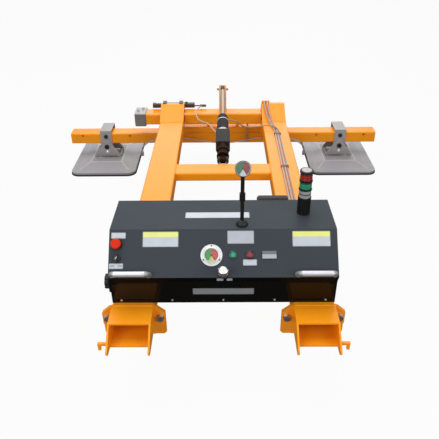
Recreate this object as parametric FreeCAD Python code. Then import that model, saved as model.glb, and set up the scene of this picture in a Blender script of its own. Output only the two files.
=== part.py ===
import FreeCAD, Part
import math
import os

# Fork-mounted vacuum lifter for glass panels. Millimetres, +Z up, +Y away from the truck.
# The origin is midway between the two fork pockets, at their mouth, on the plane where
# the forks bear against the pocket roofs.

V = FreeCAD.Vector

# Arms and fork pockets
arm_width = 187.0
arm_height = 100.0
arm_wall = 8.0
arm_corner = 12.0
arm_centre = 407.0
arm_end = 2269.0
mouth_lip = 39.0
tip_reach = 95.0
tip_round = 14.0
flange_front = 115.0
flange_thickness = 10.0
flange_reach = 143.0
flange_drop = 180.0
flange_corner = 12.0
ear_chamfer = 44.0
ear_drop = 172.0
flange_bolt_offset = 119.0
flange_bolt_drop = 70.0
flange_bolt_radius = 10.0
bolt_clearance = 0.5
hook_bar = 12.0
hook_reach = 39.0
hook_lead = 52.0
hook_rise = 28.0
hook_drop = 26.0

arm_top = arm_wall
arm_bottom = arm_top - arm_height
arm_inner_face = arm_centre - arm_width / 2
arm_outer_face = arm_centre + arm_width / 2
arm_start = flange_front + flange_thickness

# Middle cross tube and the actuator's foot
mid_tube_front = 1402.0
mid_tube_depth = 143.0
mid_tube_height = 60.0
mid_tube_wall = 6.0
mid_tube_sink = 5.0
foot_plate = 120.0
foot_plate_height = 36.0
foot_plate_thickness = 10.0
foot_pin_gap = 43.0
foot_pin_rise = -2.0
foot_pin_radius = 12.5
foot_lug_thickness = 12.0
foot_lug_round = 26.0
tail_width = 40.0
tail_play = 1.5

# Tilting head: shaft, tube and bearing saddles
tilt_reach = 170.0
tilt_drop = 20.0
tilt_tube_depth = 125.0
tilt_tube_height = 91.0
tilt_tube_wall = 8.0
tilt_tube_corner = 12.0
tilt_stub_end = 624.0
tilt_end_gap = 4.0
shaft_radius = 35.0
running_clearance = 0.08
bush_wall = 7.0
saddle_round = 78.0
saddle_rise = 85.0
saddle_top_lead = 1.0
saddle_top_depth = 31.0
seam_inset = 20.0
seam_width = 3.0
seam_depth = 2.0
saddle_cheek = 20.0
saddle_skin = 10.0
saddle_boss = 14.0
end_block_length = 91.0
end_block_margin = 10.0
end_block_chamfer = 6.0
plug_radius = 9.0
plug_height = 16.0
plug_places = ((-18.0, -20.0), (18.0, 24.0))

tilt_y = arm_end + tilt_reach
tilt_z = arm_top - tilt_drop
saddle_top_front = tilt_y + saddle_top_lead

# Lever and its pin
lever_pin_lead = 101.0
lever_pin_rise = 182.0
lever_gap = 38.0
lever_thickness = 10.0
lever_tip_radius = 26.0
lever_root = 106.0
lever_pin_radius = 10.0
lever_head_length = 14.0

# Pad beam and the carrier that joins it to the tilt tube
pad_beam_lead = 96.0
pad_beam_drop = 227.0
pad_beam_depth = 120.0
pad_beam_height = 91.0
pad_beam_wall = 6.0
pad_beam_corner = 10.0
pad_beam_half = 1285.0
pad_hole_radius = 8.0
pad_hole_pitch = 200.0
pad_hole_drop = 22.0
end_cap_thickness = 4.0
carrier_height = 54.0
carrier_half = 380.0
drop_plate_thickness = 20.0
drop_plate_place = 130.0
drop_plate_inset = 12.0
drop_plate_lug = 30.0

pad_beam_y = tilt_y + pad_beam_lead

# Sleeves and pads
sleeve_inset = 295.0
sleeve_width = 95.0
sleeve_wall = 10.0
sleeve_clearance = 0.5
sleeve_headroom = 17.0
sleeve_backroom = 40.0
sleeve_shoe = 45.0
pivot_drop = 291.0
pivot_radius = 12.0
pivot_head = 10.0
strap_round = 40.0
lock_pin_radius = 7.0
lock_knob_radius = 16.0
pad_width = 530.0
pad_depth = 720.0
pad_corner = 66.0
pad_rim = 14.0
pad_sheet = 10.0
crown_margin = 57.0
crown_corner = 30.0
plateau_margin = 132.0
plateau_set_back = 53.0
plateau_corner = 16.0
plateau_drop = 388.0
rim_top_drop = 402.0
seal_height = 14.0
seal_width = 42.0
seal_overhang = 4.0
yoke_base = 220.0
yoke_thickness = 12.0
yoke_eye = 30.0
yoke_apex = 63.0
yoke_foot = 14.0
yoke_arch = 92.0
yoke_arch_rise = 12.0
yoke_play = 1.5
yoke_strip = 14.0
yoke_headroom = 12.0
port_radius = 11.0
port_bore = 8.0
port_height = 38.0
port_reach = 20.0
port_floor = 8.0
hose_radius = 6.0
hose_end_gap = 0.2

sleeve_centre = pad_beam_half - sleeve_inset

# Actuator, measured along its axis from the foot pin
actuator_tail_radius = 24.0
actuator_flange_start = 34.0
actuator_flange_radius = 43.0
actuator_neck_start = 48.0
actuator_neck_radius = 36.0
actuator_motor_start = 92.0
actuator_motor_radius = 42.0
actuator_box_start = 158.0
actuator_box_width = 100.0
actuator_box_height = 92.0
actuator_box_corner = 10.0
actuator_box_end = 315.0
actuator_tube_radius = 42.0
actuator_nose_length = 30.0
actuator_tube_end = 535.0
rod_radius = 17.5
rod_bore_start = 172.0
rod_insert = 40.0
rod_clearance = 0.1
rod_eye_radius = 24.0
rod_eye_width = 34.0

# Cabinet
cabinet_half = 500.0
cabinet_sheet = 3.0
cabinet_height = 312.0
cabinet_depth = 396.0
slope_run = 146.0
nose_y = 118.0
nose_rise = 157.0
lip_set_back = 18.0
lip_rise = 120.0
hood_pump_gap = 14.0
hood_width = 151.0
hood_depth = 44.0
hood_bottom = 120.0
hood_rise = 6.0
hood_round = 14.0

lip_y = nose_y + lip_set_back
slope_top_y = nose_y + slope_run
cabinet_back = nose_y + cabinet_depth

# Pieces inside the cabinet
pump_back_gap = 114.0
pump_axis_rise = 85.0
pump_motor_radius = 62.0
pump_motor_length = 150.0
pump_head_radius = 75.0
pump_head_length = 80.0
pump_foot_inset = 20.0
pump_foot_depth = 100.0
pump_foot_drop = 50.0
pump_outlet_radius = 12.0
pump_outlet_rise = 110.0
battery_width = 195.0
battery_depth = 170.0
battery_height = 185.0
battery_gap = 10.0
electric_width = 140.0
electric_depth = 130.0
electric_height = 200.0
inner_back_gap = 24.0
electric_gap = 10.0
pump_gap = 40.0
inner_spare_share = 19.0 / 58.0

# Panel instruments, measured along the slope from its lower edge
gauge_x = -51.0
gauge_up = 97.0
gauge_flange_radius = 47.5
gauge_flange_thickness = 4.0
gauge_radius = 31.0
gauge_bezel = 3.0
gauge_bezel_height = 6.5
gauge_depth = 35.0
gauge_glass = 1.5
needle_length = 25.0
needle_tail = 8.0
needle_width = 2.4
needle_thickness = 1.2
needle_height = 1.4
needle_hub_radius = 4.0
needle_pin_radius = 1.5
needle_pin_clearance = 0.1
control_bore = 12.8
control_barrel = 14.8
control_flange = 17.0
control_flange_height = 6.0
control_depth = 28.0
control_floor = 3.0
control_gap = 0.3
button_rise = 9.0
green_x = 43.0
red_x = 116.0
button_up = 98.0
selector_side_gap = 36.0
selector_up = 85.0
stop_side_gap = 33.0
stop_up = 147.0
stop_radius = 23.0
stop_cap_low = 13.0
stop_cap_high = 25.0
stop_collar = 26.0
meter_x = 201.0
meter_up = 98.0
meter_width = 61.0
meter_height = 33.0
meter_rise = 5.0
meter_depth = 30.0
valve_up = 19.0
valve_ring_outer = 24.0
valve_ring_inner = 15.0
valve_ring_height = 10.0
valve_hub_radius = 9.0
valve_pin_radius = 4.0
valve_pin_half = 16.5
valve_rod_radius = 6.0
valve_ball_radius = 25.0
valve_ball_rise = 66.0
handle_side_gap = 20.0
handle_up = 13.0
handle_span = 156.0
handle_rise = 40.0
handle_radius = 12.0
handle_bend = 20.0
handle_foot_radius = 13.0
handle_foot_height = 4.0

# Gauge on its stem, stack light and isolator
stem_x = 84.0
stem_y = 300.0
stem_gauge_tilt = 30.0
boot_radius = 27.0
stem_radius = 8.5
stem_collar_radius = 13.0
stem_collar_low = 125.0
stem_collar_high = 160.0
stem_gauge_rise = 280.0
stem_gauge_depth = 28.0
stem_seat_gap = 0.2
light_side_gap = 131.0
light_y = 399.0
light_radius = 30.0
light_base_height = 86.0
light_ring_height = 4.0
light_lens_height = 38.0
light_cap_height = 6.0
lens_inset = 2.0
light_rib_count = 16
light_rib_width = 4.0
light_rib_depth = 2.0
isolator_y = 190.0
isolator_rise = 82.0
isolator_base = 70.0
isolator_base_depth = 12.0
isolator_radius = 34.0
isolator_depth = 18.0
isolator_lobes = 8
isolator_lobe_radius = 6.0
isolator_gap = 0.4

# Limit switch box on the left saddle, and its cable gland
limit_left = -577.0
limit_right = -233.0
limit_lead = 58.0
limit_depth = 42.0
limit_low = 32.0
limit_high = 68.0
limit_round = 8.0
limit_stub_radius = 5.0
limit_stub_rise = 12.0
limit_plug_radius = 10.0
limit_plug_near = -188.0
limit_plug_far = -138.0
limit_foot_width = 30.0
limit_foot_inset = 12.0
limit_foot_hold = 20.0
limit_foot_sheet = 6.0

limit_front = tilt_y + limit_lead

# Lines along the right arm
arm_line_lift = 0.4
arm_hose_x = (394.0, 411.0)
arm_cable_x = 427.0
cable_radius = 4.5
clip_places = (700.0, 1472.0, 2014.0)
clip_length = 16.0
clip_wall = 3.0
union_left = 318.0
union_width = 62.0
union_height = 18.0
union_set_back = 14.0
union_ports = (18.0, 44.0)

# Hose along the pad beam, its clamps and the pipe that feeds it
beam_hose_gap = 6.0
clamp_out = 565.0
clamp_in = 352.0
clamp_half = 7.0
clamp_inset = 8.0
clamp_wall = 5.0
clamp_room = 1.6
feed_x = 205.0
tee_half = 14.0
tee_wall = 4.0
tee_room = 0.6


def above_arm(rise):
    """Height of a point given above the arms' top faces."""
    return arm_top + rise


def box(x0, x1, y0, y1, z0, z1):
    """Box between two corners."""
    return Part.makeBox(x1 - x0, y1 - y0, z1 - z0, V(x0, y0, z0))


def rod(radius, start, end):
    """Round bar between two points."""
    along = end.sub(start)
    return Part.makeCylinder(radius, along.Length, start, along)


def pipe(outer, inner, start, end):
    """Round tube between two points."""
    return rod(outer, start, end).cut(rod(inner, start, end))


def fused(shapes):
    """One clean solid from touching or overlapping shapes."""
    whole = shapes[0].multiFuse(shapes[1:])
    return whole.removeSplitter()


def mirrored(shape):
    """The same piece on the other side of the middle plane."""
    return shape.mirror(V(0, 0, 0), V(1, 0, 0))


def side_plate(points, x0, x1):
    """Flat plate square to X, with an outline of (y, z) points."""
    corners = [V(x0, y, z) for y, z in points]
    face = Part.Face(Part.makePolygon(corners + corners[:1]))
    return face.extrude(V(x1 - x0, 0, 0))


def front_plate(points, y0, y1):
    """Flat plate square to Y, with an outline of (x, z) points."""
    corners = [V(x, y0, z) for x, z in points]
    face = Part.Face(Part.makePolygon(corners + corners[:1]))
    return face.extrude(V(0, y1 - y0, 0))


def rounded_outline(width, height, radius):
    """Closed wire of a rounded rectangle in the XY plane, centred on the origin."""
    edges = []
    corners = ((1, 1, 0), (-1, 1, 90), (-1, -1, 180), (1, -1, 270))
    ends = []
    for sign_x, sign_y, start in corners:
        centre = V(sign_x * (width / 2 - radius), sign_y * (height / 2 - radius), 0)
        angles = [math.radians(start + turn) for turn in (0, 45, 90)]
        ends.append([centre + V(math.cos(a), math.sin(a), 0) * radius for a in angles])
    for index, arc in enumerate(ends):
        edges.append(Part.Arc(*arc).toShape())
        edges.append(Part.LineSegment(arc[2], ends[(index + 1) % 4][0]).toShape())
    return Part.Wire(edges)


def rounded_bar(width, height, radius, length):
    """Bar along +Z with a rounded rectangular section."""
    return Part.Face(rounded_outline(width, height, radius)).extrude(V(0, 0, length))


def box_tube(width, height, wall, radius, length):
    """Rectangular hollow section along +Z."""
    inner_radius = max(radius - wall, radius / 4)
    inner = rounded_bar(width - 2 * wall, height - 2 * wall, inner_radius, length)
    return rounded_bar(width, height, radius, length).cut(inner)


def laid_along_y(shape, place):
    """Turn a bar made along Z so that it runs along +Y: its width along X, its height along Z."""
    turned = shape.copy()
    turned.Placement = FreeCAD.Placement(place, FreeCAD.Rotation(V(1, 0, 0), -90))
    return turned


def laid_along_x(shape, place):
    """Turn a bar made along Z so that it runs along +X: its width along Y, its height along Z."""
    turned = shape.copy()
    axes = FreeCAD.Rotation(V(0, 1, 0), V(0, 0, 1), V(1, 0, 0), "XYZ")
    turned.Placement = FreeCAD.Placement(place, axes)
    return turned


def bent_sheet(points, thickness):
    """Outline of a sheet bent along (y, z) points, thickened to the right of the walk."""
    normals = []
    for (y0, z0), (y1, z1) in zip(points, points[1:]):
        length = math.hypot(y1 - y0, z1 - z0)
        normals.append(((z1 - z0) / length, -(y1 - y0) / length))
    inner = []
    for index, (y, z) in enumerate(points):
        before = normals[max(index - 1, 0)]
        after = normals[min(index, len(normals) - 1)]
        scale = thickness / (1 + before[0] * after[0] + before[1] * after[1])
        inner.append((y + scale * (before[0] + after[0]), z + scale * (before[1] + after[1])))
    return list(points) + inner[::-1]


def tube_route(points):
    """Straight runs joined by tangent arcs, each arc as large as its two runs allow."""
    edges = []
    here = points[0]
    radii = []
    for before, corner, after in zip(points, points[1:], points[2:]):
        back = before.sub(corner)
        ahead = after.sub(corner)
        shorter = min(back.Length, ahead.Length)
        half_turn = (math.pi - back.getAngle(ahead)) / 2
        setback = 0.45 * shorter
        radius = setback / math.tan(half_turn)
        radii.append(radius)
        back.normalize()
        ahead.normalize()
        start = corner + back * setback
        end = corner + ahead * setback
        bisector = (back + ahead).normalize()
        middle = corner + bisector * (radius / math.cos(half_turn) - radius)
        edges.append(Part.LineSegment(here, start).toShape())
        edges.append(Part.Arc(start, middle, end).toShape())
        here = end
    edges.append(Part.LineSegment(here, points[-1]).toShape())
    return Part.Wire(edges), radii


def tube_along(name, points, radius):
    """Solid tube along a route, with its length, tightest bend and volume printed."""
    path, radii = tube_route(points)
    first = points[1].sub(points[0])
    section = Part.Wire(Part.makeCircle(radius, points[0], first))
    tube = path.makePipeShell([section], True, False)
    share = tube.Volume / (math.pi * radius ** 2 * path.Length)
    print(f"{name}: length {path.Length:.0f}, tightest bend {min(radii):.0f}, volume share {share:.3f}")
    return tube


def hex_bar(across, x, y0, y1, z):
    """Hexagonal bar along Y."""
    corner = across / math.sqrt(3)
    angles = [math.radians(60 * step + 30) for step in range(6)]
    return front_plate([(x + corner * math.cos(a), z + corner * math.sin(a)) for a in angles], y0, y1)


def save(name, *solids):
    """Write one node, a single solid or a group of separate ones."""
    shape = solids[0] if len(solids) == 1 else Part.Compound(list(solids))
    shape.exportStep(f"parts/{name}.step")


os.makedirs("parts", exist_ok=True)


# Fork pockets
def fork_pocket():
    """Open-mouthed box with slanted cheeks, flange ears and a chain hook on its outer side."""
    left = arm_inner_face
    right = arm_outer_face
    cheek = Part.Wire([
        Part.LineSegment(V(0, flange_front, arm_bottom), V(0, flange_front, arm_top)).toShape(),
        Part.LineSegment(V(0, flange_front, arm_top), V(0, 0, arm_top)).toShape(),
        Part.LineSegment(V(0, 0, arm_top), V(0, -tip_reach + 4, arm_bottom + 2 * tip_round)).toShape(),
        Part.Arc(
            V(0, -tip_reach + 4, arm_bottom + 2 * tip_round),
            V(0, -tip_reach + 2, arm_bottom + tip_round / 2),
            V(0, -tip_reach + tip_round, arm_bottom),
        ).toShape(),
        Part.LineSegment(V(0, -tip_reach + tip_round, arm_bottom), V(0, flange_front, arm_bottom)).toShape(),
    ])
    plate = Part.Face(cheek).extrude(V(arm_wall, 0, 0))
    inner_cheek = plate.translated(V(left, 0, 0))
    outer_cheek = plate.translated(V(right - arm_wall, 0, 0))
    roof = box(left, right, 0, flange_front, 0, arm_top)
    floor = box(left, right, -mouth_lip, flange_front, arm_bottom, arm_bottom + arm_wall)
    half = arm_width / 2
    outline = [
        (-half, arm_top), (half, arm_top), (flange_reach, arm_top - ear_chamfer),
        (flange_reach, arm_top - ear_drop + 1.5 * ear_chamfer), (half, arm_top - ear_drop),
        (-half, arm_top - ear_drop), (-flange_reach, arm_top - ear_drop + 1.5 * ear_chamfer),
        (-flange_reach, arm_top - ear_chamfer),
    ]
    flange = front_plate(
        [(arm_centre + x, z) for x, z in outline], flange_front, flange_front + flange_thickness
    )
    window = box(
        left + arm_wall, right - arm_wall, flange_front - 1, flange_front + flange_thickness + 1,
        arm_bottom + arm_wall, 0,
    )
    flange = flange.cut(window)
    for side in (-1, 1):
        x = arm_centre + side * flange_bolt_offset
        z = arm_top - flange_bolt_drop
        hole = rod(
            flange_bolt_radius + bolt_clearance,
            V(x, flange_front - 1, z), V(x, flange_front + flange_thickness + 1, z),
        )
        flange = flange.cut(hole)
    hook_y = -hook_lead - hook_bar / 2
    hook_z = arm_bottom + hook_rise
    arm = box(right, right + hook_reach, hook_y, hook_y + hook_bar, hook_z, hook_z + hook_bar)
    drop = box(
        right + hook_reach - hook_bar, right + hook_reach, hook_y, hook_y + hook_bar,
        hook_z - hook_drop, hook_z,
    )
    return fused([inner_cheek, outer_cheek, roof, floor, flange, arm, drop])


right_pocket = fork_pocket()
save("right_fork_pocket", right_pocket)
save("left_fork_pocket", mirrored(right_pocket))


# Arms
def arm():
    """Long box section with a bolting flange at the pocket end."""
    middle_z = (arm_top + arm_bottom) / 2
    tube = laid_along_y(
        box_tube(arm_width, arm_height, arm_wall, arm_corner, arm_end - arm_start),
        V(arm_centre, arm_start, middle_z),
    )
    low = arm_top - flange_drop
    shoulder = flange_reach - (flange_reach - arm_width / 2) * (1 - arm_corner / ear_chamfer)
    half_outline = [
        (shoulder, arm_top - arm_corner), (flange_reach, arm_top - ear_chamfer),
        (flange_reach, low + flange_corner), (flange_reach - flange_corner, low),
    ]
    outline = half_outline + [(-x, z) for x, z in half_outline[::-1]]
    flange = front_plate(
        [(arm_centre + x, z) for x, z in outline], arm_start, arm_start + flange_thickness
    )
    core = laid_along_y(
        rounded_bar(arm_width - 1, arm_height - 1, arm_corner, 3 * flange_thickness),
        V(arm_centre, arm_start - flange_thickness, middle_z),
    )
    flange = flange.cut(core)
    for side in (-1, 1):
        x = arm_centre + side * flange_bolt_offset
        z = arm_top - flange_bolt_drop
        hole = rod(
            flange_bolt_radius + bolt_clearance,
            V(x, arm_start - 1, z), V(x, arm_start + flange_thickness + 1, z),
        )
        flange = flange.cut(hole)
    return fused([tube, flange])


right_arm = arm()
save("right_arm", right_arm)
save("left_arm", mirrored(right_arm))


# Flange bolts
def flange_bolt(x):
    """Hex bolt, washer and nut through the two flanges."""
    z = arm_top - flange_bolt_drop
    front = flange_front
    back = arm_start + flange_thickness
    head = hex_bar(3 * flange_bolt_radius, x, front - 15, front - 3, z)
    washer = rod(1.8 * flange_bolt_radius, V(x, front - 3, z), V(x, front, z))
    shank = rod(flange_bolt_radius, V(x, front - 3, z), V(x, back + 24, z))
    nut = hex_bar(3 * flange_bolt_radius, x, back + 3, back + 19, z)
    back_washer = rod(1.8 * flange_bolt_radius, V(x, back, z), V(x, back + 3, z))
    return fused([head, washer, shank, nut, back_washer])


save("flange_bolts", *[
    flange_bolt(side * (arm_centre + way * flange_bolt_offset)) for side in (-1, 1) for way in (-1, 1)
])

# Middle cross tube
mid_tube_top = above_arm(-mid_tube_sink)
mid_tube = laid_along_x(
    box_tube(mid_tube_depth, mid_tube_height, mid_tube_wall, arm_corner, 2 * arm_inner_face),
    V(-arm_inner_face, mid_tube_front + mid_tube_depth / 2, mid_tube_top - mid_tube_height / 2),
)
save("mid_cross_tube", mid_tube)

# Actuator foot: plate, two lugs and the pin
mid_tube_back = mid_tube_front + mid_tube_depth
foot_pin = V(0, mid_tube_back + foot_pin_gap, above_arm(foot_pin_rise))
foot_middle = mid_tube_top - mid_tube_height / 2
foot_low = foot_middle - foot_plate_height / 2
foot_high = foot_middle + foot_plate_height / 2
foot_face = mid_tube_back + foot_plate_thickness
foot_base = box(-foot_plate / 2, foot_plate / 2, mid_tube_back, foot_face, foot_low, foot_high)
lug_inner = tail_width / 2 + tail_play
lug_outer = lug_inner + foot_lug_thickness
lug_diagonal = foot_lug_round / math.sqrt(2)
lugs = []
for x0, x1 in ((lug_inner, lug_outer), (-lug_outer, -lug_inner)):
    web = side_plate([
        (foot_face, foot_low), (foot_face, foot_high),
        (foot_pin.y - lug_diagonal, foot_pin.z + lug_diagonal),
        (foot_pin.y + lug_diagonal, foot_pin.z - lug_diagonal),
    ], x0, x1)
    eye = rod(foot_lug_round, V(x0, foot_pin.y, foot_pin.z), V(x1, foot_pin.y, foot_pin.z))
    lugs += [web, eye]
foot_bore = rod(
    foot_pin_radius + running_clearance,
    V(-lug_outer - 1, foot_pin.y, foot_pin.z), V(lug_outer + 1, foot_pin.y, foot_pin.z),
)
foot = fused([foot_base] + lugs).cut(foot_bore)
foot_heads = [
    rod(1.5 * foot_pin_radius, V(x, foot_pin.y, foot_pin.z), V(x + side * 6, foot_pin.y, foot_pin.z))
    for x, side in ((lug_outer, 1), (-lug_outer, -1))
]
foot_shank = rod(
    foot_pin_radius, V(-lug_outer, foot_pin.y, foot_pin.z), V(lug_outer, foot_pin.y, foot_pin.z)
)
save("actuator_bracket", foot, fused([foot_shank] + foot_heads))


# Bearing saddles
def saddle():
    """Raised bearing housing on the arm's end, with a slanted roof between two cheeks."""
    centre = V(0, tilt_y, tilt_z)
    low = V(0, tilt_y, tilt_z - saddle_round)
    back = V(0, tilt_y + saddle_round, tilt_z)
    diagonal = saddle_round / math.sqrt(2)
    top_front = V(0, saddle_top_front, above_arm(saddle_rise))
    top_back = top_front + V(0, saddle_top_depth, 0)
    arm_low = V(0, arm_end, arm_bottom)
    arm_high = V(0, arm_end, arm_top)
    outline = Part.Wire([
        Part.LineSegment(arm_low, arm_high).toShape(),
        Part.LineSegment(arm_high, top_front).toShape(),
        Part.LineSegment(top_front, top_back).toShape(),
        Part.LineSegment(top_back, back).toShape(),
        Part.Arc(back, centre + V(0, diagonal, -diagonal), low).toShape(),
        Part.LineSegment(low, arm_low).toShape(),
    ])
    block = Part.Face(outline).extrude(V(arm_width, 0, 0)).translated(V(arm_inner_face, 0, 0))
    bore = rod(
        shaft_radius + bush_wall,
        V(arm_inner_face - 1, tilt_y, tilt_z), V(arm_outer_face + 1, tilt_y, tilt_z),
    )
    slope = math.atan2(saddle_rise, saddle_top_front - arm_end)
    skin_shift = saddle_skin * math.tan(slope / 2)
    room = side_plate([
        (arm_low.y - 1, arm_low.z + saddle_skin), (arm_low.y - 1, arm_high.z - saddle_skin),
        (arm_high.y + skin_shift, arm_high.z - saddle_skin),
        (top_front.y + skin_shift, top_front.z - saddle_skin),
        (top_back.y - saddle_skin, top_back.z - saddle_skin),
        (tilt_y + saddle_round - saddle_skin, tilt_z),
        (tilt_y + diagonal - saddle_skin, tilt_z - diagonal + saddle_skin),
        (tilt_y, low.z + saddle_skin),
    ], arm_inner_face + saddle_cheek, arm_outer_face - saddle_cheek)
    boss = rod(
        shaft_radius + bush_wall + saddle_boss,
        V(arm_inner_face, tilt_y, tilt_z), V(arm_outer_face, tilt_y, tilt_z),
    )
    block = block.cut(room.cut(boss)).cut(bore)
    sink_y = seam_depth * math.sin(slope)
    sink_z = -seam_depth * math.cos(slope)
    for x in (arm_inner_face + seam_inset, arm_outer_face - seam_inset - seam_width):
        seam = side_plate([
            (arm_high.y + sink_y, arm_high.z + sink_z),
            (top_front.y + sink_y, top_front.z + sink_z),
            (top_front.y - 2 * sink_y, top_front.z - 4 * sink_z),
            (arm_high.y - 2 * sink_y, arm_high.z - 4 * sink_z),
        ], x, x + seam_width)
        block = block.cut(seam)
    return block


right_saddle = saddle()
save("right_bearing_saddle", right_saddle)
save("left_bearing_saddle", mirrored(right_saddle))

bush = pipe(
    shaft_radius + bush_wall - running_clearance, shaft_radius + running_clearance,
    V(arm_inner_face, tilt_y, tilt_z), V(arm_outer_face, tilt_y, tilt_z),
)
save("tilt_bushes", bush, mirrored(bush))


# Tilt tube with its left stub, shaft and end block
def closed_tube(x0, x1):
    """Length of tilt tube with end plates bored for the shaft."""
    tube = laid_along_x(
        box_tube(tilt_tube_depth, tilt_tube_height, tilt_tube_wall, tilt_tube_corner, x1 - x0),
        V(x0, tilt_y, tilt_z),
    )
    plug = rounded_bar(
        tilt_tube_depth - tilt_tube_wall, tilt_tube_height - tilt_tube_wall,
        tilt_tube_corner / 2, tilt_tube_wall,
    )
    near_plate = laid_along_x(plug, V(x0, tilt_y, tilt_z))
    far_plate = laid_along_x(plug, V(x1 - tilt_tube_wall, tilt_y, tilt_z))
    bore = rod(
        shaft_radius + running_clearance, V(x0 - 1, tilt_y, tilt_z), V(x1 + 1, tilt_y, tilt_z)
    )
    return fused([tube, near_plate, far_plate]).cut(bore)


tilt_half = arm_inner_face - tilt_end_gap
save(
    "tilt_tube",
    closed_tube(-tilt_half, tilt_half),
    closed_tube(-tilt_stub_end, -arm_outer_face - tilt_end_gap),
)
shaft = rod(shaft_radius, V(-tilt_stub_end, tilt_y, tilt_z), V(arm_outer_face, tilt_y, tilt_z))

block_depth = tilt_tube_depth + 2 * end_block_margin
block_height = tilt_tube_height + 2 * end_block_margin
end_block = box(
    -tilt_stub_end - end_block_length, -tilt_stub_end,
    tilt_y - block_depth / 2, tilt_y + block_depth / 2,
    tilt_z - block_height / 2, tilt_z + block_height / 2,
)
end_block = end_block.makeChamfer(end_block_chamfer, end_block.Edges)
block_middle = -tilt_stub_end - end_block_length / 2
block_top = tilt_z + block_height / 2
fittings = []
for x, y in plug_places:
    foot_point = V(block_middle + x, tilt_y + y, block_top - 1)
    fittings.append(rod(plug_radius, foot_point, foot_point + V(0, 0, plug_height + 1)))
save("end_block", fused([end_block] + fittings))

# Lever cheeks on the tilt tube, and the two halves of the lever pin
lever_pin = V(0, tilt_y + lever_pin_lead, above_arm(lever_pin_rise))
tube_top = tilt_z + tilt_tube_height / 2
lever_way = V(0, lever_pin.y - tilt_y, lever_pin.z - tilt_z)
lever_way.normalize()
lever_side = V(0, -lever_way.z, lever_way.y) * lever_tip_radius


def lever_cheek():
    """Tapered plate from the tilt tube's top to a round eye at the pin."""
    inner = lever_gap / 2
    outer = inner + lever_thickness
    root_middle = tilt_y + (lever_pin.y - tilt_y) * 0.1
    blade = side_plate([
        (root_middle - lever_root / 2, tube_top), (root_middle + lever_root / 2, tube_top),
        (lever_pin.y - lever_side.y, lever_pin.z - lever_side.z),
        (lever_pin.y + lever_side.y, lever_pin.z + lever_side.z),
    ], inner, outer)
    tip = rod(lever_tip_radius, V(inner, lever_pin.y, lever_pin.z), V(outer, lever_pin.y, lever_pin.z))
    bore = rod(
        lever_pin_radius + running_clearance,
        V(inner - 1, lever_pin.y, lever_pin.z), V(outer + 1, lever_pin.y, lever_pin.z),
    )
    return fused([blade, tip]).cut(bore)


right_cheek = lever_cheek()
save("lever_cheeks", right_cheek, mirrored(right_cheek))


def lever_pin_half():
    """Headed stub that fills one cheek's bore, clear of the rod eye between the cheeks."""
    inner = lever_gap / 2
    outer = inner + lever_thickness
    shank = rod(lever_pin_radius, V(inner, lever_pin.y, lever_pin.z), V(outer, lever_pin.y, lever_pin.z))
    washer = rod(
        1.9 * lever_pin_radius, V(outer, lever_pin.y, lever_pin.z), V(outer + 3, lever_pin.y, lever_pin.z)
    )
    head = rod(
        1.5 * lever_pin_radius,
        V(outer + 3, lever_pin.y, lever_pin.z),
        V(outer + 3 + lever_head_length, lever_pin.y, lever_pin.z),
    )
    return fused([shank, washer, head])


right_pin = lever_pin_half()
save("head_pins", shaft, right_pin, mirrored(right_pin))

# Pad beam with locking holes and end caps
pad_beam_z = above_arm(-pad_beam_drop)
pad_beam_front = pad_beam_y - pad_beam_depth / 2
pad_beam_back = pad_beam_y + pad_beam_depth / 2
pad_beam_top = pad_beam_z + pad_beam_height / 2
pad_beam_low = pad_beam_z - pad_beam_height / 2
pad_hole_z = pad_beam_top - pad_hole_drop
pad_beam = laid_along_x(
    box_tube(pad_beam_depth, pad_beam_height, pad_beam_wall, pad_beam_corner, 2 * pad_beam_half),
    V(-pad_beam_half, pad_beam_y, pad_beam_z),
)
for side in (-1, 1):
    for step in (-1, 0, 1):
        x = side * (sleeve_centre + step * pad_hole_pitch)
        hole = rod(pad_hole_radius, V(x, pad_beam_front - 1, pad_hole_z), V(x, pad_beam_y, pad_hole_z))
        pad_beam = pad_beam.cut(hole)
cap = rounded_bar(pad_beam_depth, pad_beam_height, pad_beam_corner, end_cap_thickness)
caps = [
    laid_along_x(cap, V(x, pad_beam_y, pad_beam_z))
    for x in (-pad_beam_half - end_cap_thickness, pad_beam_half)
]
save("pad_beam", pad_beam, *caps)

# Carrier box on the pad beam, and the two drop plates up to the tilt tube
carrier_top = pad_beam_top + carrier_height
carrier = laid_along_x(
    box_tube(pad_beam_depth, carrier_height, pad_beam_wall, pad_beam_corner, 2 * carrier_half),
    V(-carrier_half, pad_beam_y, pad_beam_top + carrier_height / 2),
)
tube_low = tilt_z - tilt_tube_height / 2
tube_back = tilt_y + tilt_tube_depth / 2
plate_outer = drop_plate_place
drop_plate = side_plate([
    (tilt_y - tilt_tube_depth / 4, tube_low), (tube_back, tube_low),
    (tube_back, tilt_z + tilt_tube_height / 4), (tube_back + 18, tilt_z + tilt_tube_height / 4),
    (pad_beam_back - drop_plate_inset, carrier_top + drop_plate_lug),
    (pad_beam_back - drop_plate_inset, carrier_top),
    (pad_beam_front + drop_plate_inset, carrier_top), (tilt_y - tilt_tube_depth / 4, tube_low - 24),
], plate_outer - drop_plate_thickness, plate_outer)
save("carrier_beam", carrier, drop_plate, mirrored(drop_plate))


# Sleeves on the pad beam, each with its pivot pin and locking pin
pivot_z = above_arm(-pivot_drop)
sleeve_front = pad_beam_front - sleeve_clearance - sleeve_wall
sleeve_back = pad_beam_back + sleeve_backroom + sleeve_wall
sleeve_top = pad_beam_top + sleeve_headroom + sleeve_wall
sleeve_low = pad_beam_low - sleeve_clearance - sleeve_wall
yoke_near = sleeve_front - yoke_play - yoke_thickness
far_strap = pad_beam_back + sleeve_clearance
strap_faces = (sleeve_front, far_strap)
yoke_far = far_strap + sleeve_wall + yoke_play


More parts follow.
